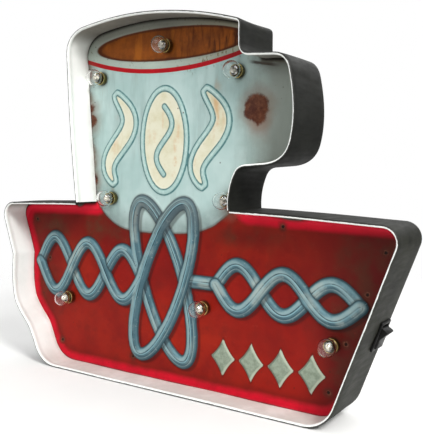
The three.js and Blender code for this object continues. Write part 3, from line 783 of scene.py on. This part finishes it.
def motif_art(look, noise, under):
    """The three upper shapes: cream inside a raised bead between two soft teal lines."""
    motif, slot = look.field("motif"), look.field("slot")
    bead = motif.gap()
    cream = look.tint("dcdac4", "cfcaaa", noise.mottle, 0.4, 0.7)
    orange = noise.runs.ramp(0.5, 0.68) * noise.mottle.ramp(0.42, 0.6)
    cream = look.coats(cream, ("d0985e", orange * 0.6), ("e8ead8", bead.ramp(2.4, 5.5, 0.55, 0)))
    pale = look.math("MAXIMUM", bead.ramp(2.2, 3.0, 1, 0), slot.ramp(2.2, 3.0, 1, 0))
    lip = look.tint("9dbcb8", "b6cfca", noise.fine, 0.4, 0.7)
    rings = [source.gap(2.6).ramp(0.3, 1.1, 1, 0) for source in (bead, slot)]
    lines = look.math("MAXIMUM", *rings)
    shine = look.math("MAXIMUM", bead.ramp(0.2, 0.9, 1, 0), slot.ramp(0.2, 0.9, 1, 0))
    under = look.coats(
        under,
        (cream, motif.ramp(-0.3, 0.3)),
        (lip, pale),
        ("34686b", lines * noise.fine.ramp(0.3, 0.6, 0.65, 0.95)),
    )
    return look.mix(shine * noise.mottle.ramp(0.4, 0.6, 0.1, 0.6), under, "cfe2dd")


def star_art(look, noise, under):
    star, side = look.field("star"), look.field("star_side")
    grey = look.tint("93a08f", "788574", noise.fine, 0.35, 0.7)
    # Lighter left edges and darker right edges are painted highlight and painted shade on the pressed
    # stars.
    grey = look.coats(
        grey,
        ("b9c2ae", side.ramp(-0.2, 1.4, 0.7, 0)),
        ("465046", star.ramp(0.4, 2.0, 0.75, 0) * side.ramp(1.0, 2.0)),
    )
    under = look.tint(under, "3a0d0a", star, -1.6, 0, 0, 0.6)
    return look.tint(under, grey, star, -0.2, 0.3)


# The thin lines along the tube: how far from its middle, colour and strength.
TUBE_LINES = ((0, "8db6bf", 0.85), (1.0, "17303b", 1), (-2.7, "2b4852", 0.7), (-3.5, "a3b9b7", 0.45))


def tube_art(look, noise, under, layer):
    """A layer of the painted tube: dark edges, a light and a shaded side, and thin lines along it."""
    tube = look.field(layer) + noise.wobble * 0.2
    side, shade = look.field(f"{layer}_side"), look.field(f"{layer}_shade")
    shadow = look.math("MINIMUM", tube, shade + 1.2)
    body = look.tint("6a8c95", "52737c", noise.mottle, 0.35, 0.65)
    under = look.tint(under, "1c0b0a", shadow, 6.3, 8.6, 0.55, 0)
    cloudy = noise.cloud.ramp(0.52, 0.66) * tube.ramp(2.5, 6.0, 1, 0)
    strength = noise.mottle.ramp(0.4, 0.6, 0.25, 0.85)
    body = look.coats(
        body,
        ("38545f", shade.ramp(0.5, 4.0, 0.75, 0)),
        ("9ab4b5", look.field(f"{layer}_light").ramp(0.4, 3.0, 0.6, 0)),
        ("a9b5ae", cloudy * 0.6),
        ("b9c5bb", noise.fine.ramp(0.56, 0.7) * 0.35),
        ("1f363f", tube.ramp(4.4, 6.4, 0, 0.9)),
        ("54595a", look.field("cup").ramp(-8, 14, 0, 0.5)),
    )
    for middle, color, amount in TUBE_LINES:
        line = side.gap(middle).ramp(0.25, 0.75, 1, 0)
        body = look.mix(line * strength * amount, body, color)
    return look.tint(under, body, tube, TUBE_HALF - 0.5, TUBE_HALF + 0.1, 1, 0)


def aged(look, noise, under):
    """The finished tin: rust, specks, nail marks, a darker ring round each lamp, painted shade along
    the edge and a painted shadow under the top walls.
    """
    rust = look.field("rust") + (look.noise(8, 5, 0.65) - 0.5) * 9
    color = look.tint("4f2616", "6a3c26", noise.fine, 0.35, 0.65)
    color = look.tint(color, "3a0f0c", noise.mottle, 0.46, 0.6, 0, 0.8)
    specks = look.cells(9).ramp(0.05, 0.12, 1, 0) * noise.broad.ramp(0.5, 0.62)
    nail = look.field("nail")
    stain = nail + (noise.fine - 0.5) * 5
    edge = look.field("edge") + noise.wobble
    under = look.coats(
        under,
        ("7d6250", rust.ramp(0, 12, 0.45, 0)),
        (color, rust.ramp(-2.0, 1.2, 0.95, 0)),
        ("3a2015", specks * 0.75),
        ("4d2419", stain.ramp(2.2, 6.5, 0.65, 0)),
        ("7a4a34", stain.ramp(1.6, 2.8, 0.6, 0)),
        ("190705", nail.ramp(1.2, 2.0, 0.95, 0)),
        ("2a211b", look.field("lamp").ramp(6.4, 8.4, 0.35, 0)),
        # Painted shade along the edge where the bands meet the face, and a painted shadow line under
        # the top walls.
        ("2b1a14", edge.ramp(1.0, 2.8, 0.65, 0)),
        ("120c0a", look.field("top_edge").ramp(-1.5, 2.2, 0.9, 0)),
    )
    rough = noise.mottle * 0.25 + rust.ramp(-1, 1, 0.3, 0) + 0.36
    grit = noise.fine * 0.35 + rust.ramp(-1, 1, 0.5, 0) - specks * 0.4
    return look.done(under, rough, grit, 0.12)


def face_look():
    """Printed, pressed and aged tin."""
    look = Look("printed_tin", roughness=0.45, Specular_IOR_Level=0.14)
    noise = SimpleNamespace(
        wobble=(look.noise(9, 3) - 0.5) * 1.4,
        broad=look.noise(75, 4, 0.65),
        mottle=look.noise(22, 6, 0.7),
        cloud=look.noise(38, 3, 0.55),
        fine=look.noise(3.5, 6, 0.7),
        runs=look.noise(16, 5, 0.65, stretch=(1, 1, 0.16)),
    )
    cup = motif_art(look, noise, rim_art(look, noise, cup_ground(look, noise)))
    fringe = look.field("cup") + noise.wobble
    ground = look.tint(red_ground(look, noise), cup, fringe, -0.5, 0.5)
    outline = fringe.gap().ramp(0.3, 2.6, 1, 0) * 0.5
    ground = look.mix(outline, ground, "4a2a20")
    ground = star_art(look, noise, ground)
    for layer in LAYERS:
        ground = tube_art(look, noise, ground, layer)
    return aged(look, noise, ground)


def black_paint(look):
    """Worn black paint: even on the cup's walls, mottled grey-green on the base's."""
    streaks = look.noise(5, 4, 0.6, stretch=(1, 0.2, 1))
    cloud = look.noise(26, 6, 0.7)
    upper = look.tint("151613", "1f201c", cloud, 0.35, 0.7)
    lower = look.tint("161713", "2b2c26", cloud, 0.32, 0.62)
    lower = look.mix(streaks.ramp(0.45, 0.75) * 0.45, lower, "32332c")
    paint = look.mix(look.along("Z", 0.15, 0.178, 1, 0), upper, lower)
    chips = look.noise(2.2, 6, 0.75).ramp(0.66, 0.7) * cloud.ramp(0.55, 0.65)
    return look.mix(chips * 0.4, paint, "5d5a50"), streaks


def outside_look():
    """The bands' outside."""
    look = Look("black_paint_outside", roughness=0.6, Specular_IOR_Level=0.15)
    paint, streaks = black_paint(look)
    return look.done(paint, streaks.ramp(0.3, 0.8, 0.55, 0.72), look.noise(1.1, 3), 0.05)


def inside_look():
    """White paint inside the bands, with painted shade near the face, on the downward-facing walls and
    on the upward-facing ones; the outside's black laps the rim.
    """
    look = Look("white_paint_inside", roughness=0.42, Specular_IOR_Level=0.35)
    cloud = look.noise(45, 5, 0.65)
    fine = look.noise(3, 6, 0.7)
    paint = look.tint("f6f8f5", "e9ede9", cloud, 0.4, 0.75)
    deep = look.along("Y", -0.005, 0.003)
    scuffs = fine.ramp(0.62, 0.69) * cloud.ramp(0.52, 0.64)
    # Tone of the painted shade on the downward-facing walls.
    painted_shade_tone = look.tint("6b675c", "57534a", cloud, 0.35, 0.7)
    # Painted shade over the upward-facing walls, clear of the front rim.
    upward_wall_shade = look.field("sill") * look.along("Y", -0.0275, -0.025)
    wrap = look.field("wrap") + (look.noise(5, 5, 0.7) - 0.5) * 1.1
    black, _ = black_paint(look)
    paint = look.coats(
        paint,
        # Painted shade in the corner near the face.
        ("a29c8c", deep * cloud.ramp(0.35, 0.65, 0.1, 0.7)),
        ("8f8676", scuffs * 0.45),
        (painted_shade_tone, look.field("under") * look.along("Y", -0.0275, -0.025, 0, 0.9)),
        ("cfc8c3", upward_wall_shade * cloud.ramp(0.35, 0.6, 0.45, 0.85)),
    )
    paint = look.tint(paint, black, wrap, -0.12, 0.12)
    return look.done(paint, cloud.ramp(0.3, 0.7, 0.36, 0.55), look.noise(1.6, 4), 0.05)


def cover_look():
    """Scratched and dusty black on the back."""
    look = Look("black_cover", roughness=0.55)
    cloud = look.noise(50, 4, 0.6)
    paint = look.tint("232421", "31322e", cloud, 0.35, 0.7)
    scratch = look.noise(3, 7, 0.8, stretch=(1, 1, 0.08)).ramp(0.66, 0.7)
    dust = look.noise(120, 6, 0.7).ramp(0.45, 0.72) * 0.4
    paint = look.coats(paint, ("6a6a66", scratch * 0.35), ("5a564c", dust))
    return look.done(paint, cloud.ramp(0.3, 0.7, 0.42, 0.62), look.noise(0.9, 3), 0.06)


def metal_look(name, light, dark, roughness):
    """Plated metal with a soft cloud of tarnish."""
    look = Look(name, color=light, roughness=roughness, metallic=1.0)
    cloud = look.noise(5, 6, 0.7)
    color = look.tint(light, dark, cloud, 0.4, 0.75, 0, 0.8)
    rough = cloud.ramp(0.3, 0.75, roughness, roughness + 0.25)
    return look.done(color, rough, look.noise(0.7, 3), 0.02)


def brass_look():
    """Dull plated brass with a painted highlight along its front rim."""
    look = Look("brass_plate", roughness=0.3, metallic=1.0)
    cloud = look.noise(4, 5, 0.7)
    dull = look.tint("8f7f48", "5e5330", cloud, 0.35, 0.7)
    # A painted highlight on the front rim.
    rim = look.along("Y", -0.0027, -0.0021, 1, 0) * cloud.ramp(0.3, 0.5, 0.7, 1)
    color = look.mix(rim, dull, "dcc47c")
    return look.done(color, cloud.ramp(0.3, 0.75, 0.25, 0.45), look.noise(0.7, 3), 0.02)


def glass_look():
    look = Look("clear_glass", color="ffffff", roughness=0.02, Transmission_Weight=1.0, IOR=1.45)
    return look.done(rough=look.noise(6, 3).ramp(0.5, 0.8, 0.01, 0.06))


def led_look():
    look = Look("diode_epoxy", roughness=0.12, Coat_Weight=1.0, Coat_Roughness=0.05)
    return look.done(look.tint("c9c5b6", "6d695c", look.noise(2.4, 3), 0.4, 0.62))


def reflector_look():
    """Bright pressed metal with painted dark bands that stand for reflected surroundings."""
    look = Look("reflector", roughness=0.12, metallic=1.0)
    reflection_bands = look.noise(2.6, 2, 0.5, distortion=0.8)
    return look.done(look.tint("dfe0e0", "35332d", reflection_bands, 0.46, 0.56), reflection_bands.ramp(0.4, 0.6, 0.08, 0.25))


def plastic_look(name, color, grain):
    """Moulded plastic with worn patches in the grain colour."""
    look = Look(name, color=color, roughness=0.5, Specular_IOR_Level=0.22)
    wear = look.noise(14, 5, 0.7).ramp(0.4, 0.75)
    worn = look.mix(wear * 0.5, color, grain)
    return look.done(worn, look.noise(4, 4).ramp(0.3, 0.7, 0.4, 0.58), look.noise(0.5, 2), 0.03)


def cell_look():
    """A battery cell's printed wrap: dark blue with a copper end, and bare metal at both tips."""
    look = Look("cell_wrap", roughness=0.3, metallic=0.6)
    wrap = look.tint("22323d", "3c5261", look.noise(8, 4), 0.4, 0.7, 0, 0.5)
    line = look.axis("X").gap(-0.0495).ramp(0.0004, 0.0006, 1, 0)
    tips = look.axis("X").gap(-0.06).ramp(0.0239, 0.0242)
    wrap = look.coats(wrap, ("b8742f", look.along("X", -0.0488, -0.0484)), ("d9dadb", line))
    return look.done(look.mix(tips, wrap, "c4c6c8"))


def floor_look():
    """Pale paint that turns clear towards the floor's edge."""
    look = Look("pale_floor", color="f6f6f4", roughness=0.8, Specular_IOR_Level=0.2)
    middle = look.nodes.new("ShaderNodeVectorMath")
    middle.operation = "LENGTH"
    look.links.new(look.where(), middle.inputs[0])
    distance = Value(look, middle.outputs["Value"])
    mixer = look.nodes.new("ShaderNodeMixShader")
    look.put(mixer.inputs["Fac"], distance.ramp(FLOOR_SOLID, FLOOR_RADIUS * MM * 0.98))
    look.links.new(look.shader.outputs[0], mixer.inputs[1])
    look.links.new(look.nodes.new("ShaderNodeBsdfTransparent").outputs[0], mixer.inputs[2])
    look.links.new(mixer.outputs[0], look.nodes["Material Output"].inputs["Surface"])
    return look.done(look.tint("f8f8f7", "f3f3f2", look.noise(300, 3), 0.4, 0.7))


FACE_TIN = face_look()
OUTSIDE = outside_look()
INSIDE = inside_look()
BACK = cover_look()
ZINC = metal_look("zinc_plate", "c3c5c6", "8c8e8e", 0.28)
CHROME = reflector_look()
BRASS = brass_look()
GLASS = glass_look()
LED = led_look()
BLACK = plastic_look("black_plastic", "0c0c0c", "1a1918")
WIRE = plastic_look("black_insulation", "141414", "242424")
CELL = cell_look()


# ---- face panel ----
def clipped_grid(step, depth):
    """Points and faces of a square grid cut where depth(points) turns negative."""
    low, high = OUTLINE.min(0), OUTLINE.max(0)
    xs = np.arange(low[0] - step, high[0] + 2 * step, step)
    zs = np.arange(low[1] - step, high[1] + 2 * step, step)
    x, z = np.meshgrid(xs, zs, indexing="ij")
    flat = pairs(x.ravel(), z.ravel())
    inward = depth(flat).reshape(x.shape)
    keep = inward >= 0
    number = np.full(x.shape, -1)
    number[keep] = np.arange(keep.sum())
    points = [*flat[keep.ravel()]]
    corners = [(0, 0), (1, 0), (1, 1), (0, 1)]
    count = sum(keep[a : len(xs) - 1 + a, b : len(zs) - 1 + b].astype(int) for a, b in corners)
    faces = []
    crossing = {}

    def cross(p, q):
        key = (min(p, q), max(p, q))
        if key not in crossing:
            share = inward[key[0]] / (inward[key[0]] - inward[key[1]])
            a = np.array([x[key[0]], z[key[0]]])
            b = np.array([x[key[1]], z[key[1]]])
            crossing[key] = len(points)
            points.append(a + share * (b - a))
        return crossing[key]

    for i, j in zip(*np.nonzero(count)):
        ring = [(i + a, j + b) for a, b in corners]
        if count[i, j] == 4:
            faces.append([number[p] for p in ring])
            continue
        face = []
        for k, p in enumerate(ring):
            q = ring[(k + 1) % 4]
            if keep[p]:
                face.append(number[p])
            if keep[p] != keep[q]:
                face.append(cross(p, q))
        faces.append(face)
    return np.array(points), faces


def face_sheet():
    def depth(p):
        return np.minimum(depth_in(p, OUTLINE) - FACE_EDGE, to_nearest(p, LAMPS) - LAMP_HOLE)

    flat, faces = clipped_grid(FACE_GRID, depth)
    fields = face_fields(flat)
    y = FACE - relief(flat, fields)
    made = tin_sheet("face_sheet", flat, y, faces, FACE_TIN, 0.6, -1)
    set_fields(made, fields)
    finish_piece(made, "face_panel")


# ---- back cover ----
def cad_middle(node):
    """Middle of a CAD node's box in millimetres."""
    made = frame["nodes"][node]
    corners = [made.matrix_world @ Vector(corner) for corner in made.bound_box]
    return np.mean([list(corner) for corner in corners], axis=0) / MM


def rectangle_depth(p, x, z, half_x, half_z):
    return np.maximum(np.abs(p[:, 0] - x) - half_x, np.abs(p[:, 1] - z) - half_z)


def cover_sheet(spots):
    """The stamped sheet behind: a rib follows its edge, clear of the hangers and battery box."""
    def depth(p):
        holes = to_nearest(p, spots) - SCREW_HOLE
        windows = [rectangle_depth(p, x, z + 3.5, 7, 11.5) for x, z in HANGERS]
        box = rectangle_depth(p, *BATTERY_BOX, 32.7, 19.7)
        return np.min([depth_in(p, OUTLINE) - COVER_EDGE, holes, *windows, box], axis=0)

    flat, faces = clipped_grid(COVER_GRID, depth)
    edge = depth_in(flat, OUTLINE)
    rib = RIB_HEIGHT * dome(np.abs(edge - RIB_INSET), RIB_HALF)
    rib += 0.1 * gentle(flat[:, 0], flat[:, 1], 110, 3.3)
    near = [rectangle_depth(flat, x, z + 3.5, 13, 15.5) for x, z in HANGERS]
    near += [rectangle_depth(flat, *BATTERY_BOX, 36, 22.5)]
    y = COVER_BACK + rib * smooth(np.min(near, axis=0), 1, 5)
    made = tin_sheet("cover_sheet", flat, y, faces, BACK, 0.9, 1)
    finish_piece(made, "back_cover")


def screw(i, x, z):
    """A pan-head screw with a cross recess and a threaded shank."""
    rings = [(r, -28.0 + 0.65 * (r / 3) ** 3) for r in np.arange(0, 2.9, 0.24)]
    thread = [(1.4 if k % 2 else 1.15, -26.1 + 0.35 * k) for k in range(15)]
    head = [*rings, (3.0, -27.2), (3.0, -26.35), (2.8, -26.3), (1.3, -26.3)]
    made = lathe(f"cross_screw_{i}", [*head, *thread, (0.5, -20.7), (0, -20.7)], [ZINC])
    turn = 2.1 * i
    for vertex in made.data.vertices:
        u = (vertex.co.x * math.cos(turn) + vertex.co.z * math.sin(turn)) / MM
        v = (vertex.co.z * math.cos(turn) - vertex.co.x * math.sin(turn)) / MM
        if vertex.co.y > 27.3 * MM and min(abs(u), abs(v)) < 0.42 and max(abs(u), abs(v)) < 1.7:
            vertex.co.y -= 0.8 * MM
    sharpen(made, 35)
    place(made, x, 0, z)
    finish_piece(made, f"cover_screw_{i}")


# ---- bands ----
def band_profile():
    """Cross-section of a band as (inward, y), and whether each stretch shows the white inside."""
    half = HEM / 2
    front = [(half + half * math.cos(a), FRONT + half - abs(math.sin(a)) * half)
             for a in np.linspace(math.pi, 0, HEM_STEPS)]
    step_in = ((HEM, 3.0), (HEM - 0.15, 3.5), (1.5, 3.9), (SHEET, 4.4))
    inner_front = [(inward, FRONT + back) for inward, back in step_in]
    inner_wall = [(SHEET, y) for y in np.linspace(-20, 20, 9)]
    inner_rear = [(i, -y) for i, y in reversed(inner_front)]
    rear = [(i, -y) for i, y in reversed(front)]
    outer_wall = [(0, y) for y in np.linspace(22, -22, 9)]
    profile = front + inner_front + inner_wall + inner_rear + rear + outer_wall
    white_until = len(front + inner_front + inner_wall + inner_rear)
    return np.array(profile), [1 if 1 <= k < white_until else 0 for k in range(len(profile))]


def band(name, path, seed, node):
    line = evenly(path, 2.5)
    profile, white = band_profile()
    side = left_normals(line)
    _, reach = length_along(line)
    count = len(profile)
    points = np.zeros((len(line), count, 3))
    for k, (inward, y) in enumerate(profile):
        bulge = 0.45 * (1 - (y / REAR) ** 2) + 0.12
        uneven = bulge * gentle(reach, np.full(len(line), y), 120, seed)
        ends = smooth(np.minimum(reach, reach[-1] - reach), 0, 12)
        shifted = line + side * (inward + np.clip(uneven, -0.35, 1) * ends)[:, None]
        points[:, k, 0], points[:, k, 1], points[:, k, 2] = shifted[:, 0], y, shifted[:, 1]
    faces, kinds = [], []
    for i in range(len(line) - 1):
        for k in range(count):
            m = (k + 1) % count
            faces.append([i * count + k, i * count + m, (i + 1) * count + m, (i + 1) * count + k])
            kinds.append(white[k])
    faces += [list(range(count))[::-1], [(len(line) - 1) * count + k for k in range(count)]]
    kinds += [0, 0]
    flat = points.reshape(-1, 3)
    flat[:, 2] = np.maximum(flat[:, 2], 0)
    made = mesh_object(name, flat, faces, [OUTSIDE, INSIDE], indices=kinds)
    # Which way the inside faces, for its painted shade on downward- and upward-facing walls.
    under = np.repeat(smooth(-side[:, 1], 0.35, 0.95), count)
    sill = np.repeat(smooth(side[:, 1], 0.35, 0.95), count)
    lap = 1.1 + 0.25 * smooth(side[:, 0], 0.2, 0.8)  # the black laps further round the left walls' rims
    wrap = np.where(profile[:, 1] < FRONT + 3, lap[:, None] - profile[:, 0], -HEM).ravel()
    set_fields(made, {"under": under, "sill": sill, "wrap": wrap})
    sharpen(made, 50)
    finish_piece(made, node)


# ---- lamps ----
def circle_part(radius, height, start, end, steps):
    angle = np.linspace(start, end, steps + 1)
    return [(max(radius * math.sin(a), 0), height + radius * math.cos(a)) for a in angle]


def lamp(i, x, z):
    """An open cup on a barrel, a diode in a small reflector, and a clear globe round it."""
    barrel = [(3.9, -6.5), (4.6, -6.5), (4.6, 0.3), (5.7, 0.3), (6.2, 0.5), (6.4, 0.9)]
    brim = [(6.4, 4.8), (6.5, 5.05), (6.4, 5.35), (6.15, 5.4), (5.85, 5.2), (5.8, 4.9)]
    base = lathe(f"lamp_{i}_collar", [*barrel, *brim, (5.8, 2.7), (5.4, 2.2), (3.9, 2.2)], [BRASS])
    sharpen(base, 50)
    outer = circle_part(GLOBE_RADIUS, GLOBE_HEIGHT, 2.4, 0, 22)
    inner = circle_part(GLOBE_RADIUS - GLOBE_WALL, GLOBE_HEIGHT, 0, 2.45, 22)
    globe = lathe(f"lamp_{i}_bulb", [(4.5, 2.8), (5.3, 2.8), *outer, *inner], [GLASS])
    globe.visible_shadow = False  # the lamps' light and the studio's pass through clear glass
    cup = [(0, -5.5), (3.5, -5.5), (3.5, 6.6), (3.9, 7.7), (4.1, 8.6)]
    cup += [(4.1, 9.1), (3.9, 9.2), (3.3, 8.4)]
    tip = [(2.9, 8.6), (2.9, 10.3), *circle_part(2.9, 10.5, 1.5, 0, 8)]
    kinds = [0] * len(cup) + [1] * len(tip)
    led = lathe(f"lamp_{i}_diode", cup + tip, [CHROME, LED], indices=kinds)
    sharpen(led, 50)
    for piece, node, slot in ((base, "base", "brass"), (globe, "globe", "glass"), (led, "led", "led")):
        place(piece, x, FACE, z)
        finish_piece(piece, f"lamp_{i}_{node}")


# ---- camera, light and floor ----
def camera():
    azimuth, elevation, roll = (math.radians(v) for v in CAMERA_ANGLES)
    back = Vector((math.sin(azimuth) * math.cos(elevation), -math.cos(azimuth) * math.cos(elevation),
                   math.sin(elevation)))
    right = Vector((math.cos(azimuth), math.sin(azimuth), 0))
    up = back.cross(right)
    rolled = right * math.cos(roll) + up * math.sin(roll)
    upright = up * math.cos(roll) - right * math.sin(roll)
    data = bpy.data.cameras.new("camera")
    made = add_object("camera", data)
    target = Vector(CAMERA_TARGET) * MM
    turn = Matrix((rolled, upright, back)).transposed().to_4x4()
    made.matrix_world = Matrix.Translation(target + back * CAMERA_DISTANCE) @ turn
    data.lens, data.sensor_width = LENS, SENSOR
    data.clip_start = 0.01
    bpy.context.scene.camera = made


def area_light(name, place_at, size, power, tint=(1, 1, 1)):
    data = bpy.data.lights.new(name, "AREA")
    data.shape = "RECTANGLE"
    data.size, data.size_y = size
    data.energy = power
    data.color = tint
    made = add_object(name, data)
    made.location = place_at
    made.rotation_euler = (Vector(LIGHT_TARGET) - Vector(place_at)).to_track_quat("-Z", "Y").to_euler()


def sky():
    """White where the camera looks past the sign, and dimmer light from low directions."""
    world = bpy.data.worlds.new("studio")
    world.use_nodes = True
    nodes, links = world.node_tree.nodes, world.node_tree.links
    split = nodes.new("ShaderNodeSeparateXYZ")
    links.new(nodes.new("ShaderNodeTexCoord").outputs["Generated"], split.inputs[0])
    mixer = nodes.new("ShaderNodeMix")
    links.new(nodes.new("ShaderNodeLightPath").outputs["Is Camera Ray"], mixer.inputs["Factor"])
    strength = range_node(nodes, -0.2, 0.8, SKY_LOW, SKY_HIGH)
    links.new(split.outputs["Z"], strength.inputs["Value"])
    links.new(strength.outputs[0], mixer.inputs["A"])
    mixer.inputs["B"].default_value = 1.0
    links.new(mixer.outputs["Result"], nodes["Background"].inputs["Strength"])
    nodes["Background"].inputs["Color"].default_value = (1, 1, 1, 1)
    bpy.context.scene.world = world


def floor():
    """A pale floor that fades out far from the sign."""
    rings, spokes = np.linspace(0, FLOOR_RADIUS, 12)[1:], 48
    angle = full_turn(spokes)
    points = [(0, 0, -FLOOR_DROP)]
    points += [(r * math.cos(a), r * math.sin(a), -FLOOR_DROP) for r in rings for a in angle]
    faces = [[0, 1 + k, 1 + (k + 1) % spokes] for k in range(spokes)]
    for ring in range(len(rings) - 1):
        start = 1 + ring * spokes
        for k in range(spokes):
            m = (k + 1) % spokes
            faces.append([start + k, start + spokes + k, start + spokes + m, start + m])
    mesh_object("floor", points, faces, [floor_look()])


def studio():
    area_light("key", (1.3, -0.75, 1.3), (0.5, 0.7), 29, (1.0, 0.99, 0.97))
    area_light("fill", (-0.4, -1.6, 0.9), (1.2, 1.2), 4)
    area_light("back", (0.3, 1.5, 1.2), (1.4, 1.0), 8)
    sky()
    floor()
    bpy.context.scene.view_settings.view_transform = "Standard"


camera()
studio()
face_sheet()
band("base_strip", BASE, 2.0, "base_band")
band("cup_strip", CUP, 5.0, "cup_band")
for number, (lamp_x, lamp_z) in enumerate(LAMPS, 1):
    lamp(number, lamp_x, lamp_z)

screw_spots = [cad_middle(f"cover_screw_{i}") for i in range(1, 8)]
cover_sheet([(spot[0], spot[2]) for spot in screw_spots])
for number, spot in enumerate(screw_spots, 1):
    screw(number, spot[0], spot[2])

# CAD pieces that keep their shape take a finish by their material slot and softened edges.
FINISHES = {"outside": OUTSIDE, "face": FACE_TIN, "cover": BACK, "zinc": ZINC, "brass": BRASS,
            "glass": GLASS, "led": LED, "plastic": BLACK, "cell": CELL, "wire": WIRE}
BEVELS = {"plastic": 0.4, "zinc": 0.2}
slots = {entry["node"]: entry["material_slot"] for entry in frame["record"]["subparts"]}
for node, made in frame["nodes"].items():
    made.data.materials.clear()
    made.data.materials.append(FINISHES[slots[node]])
    soften(made, BEVELS.get(slots[node]))
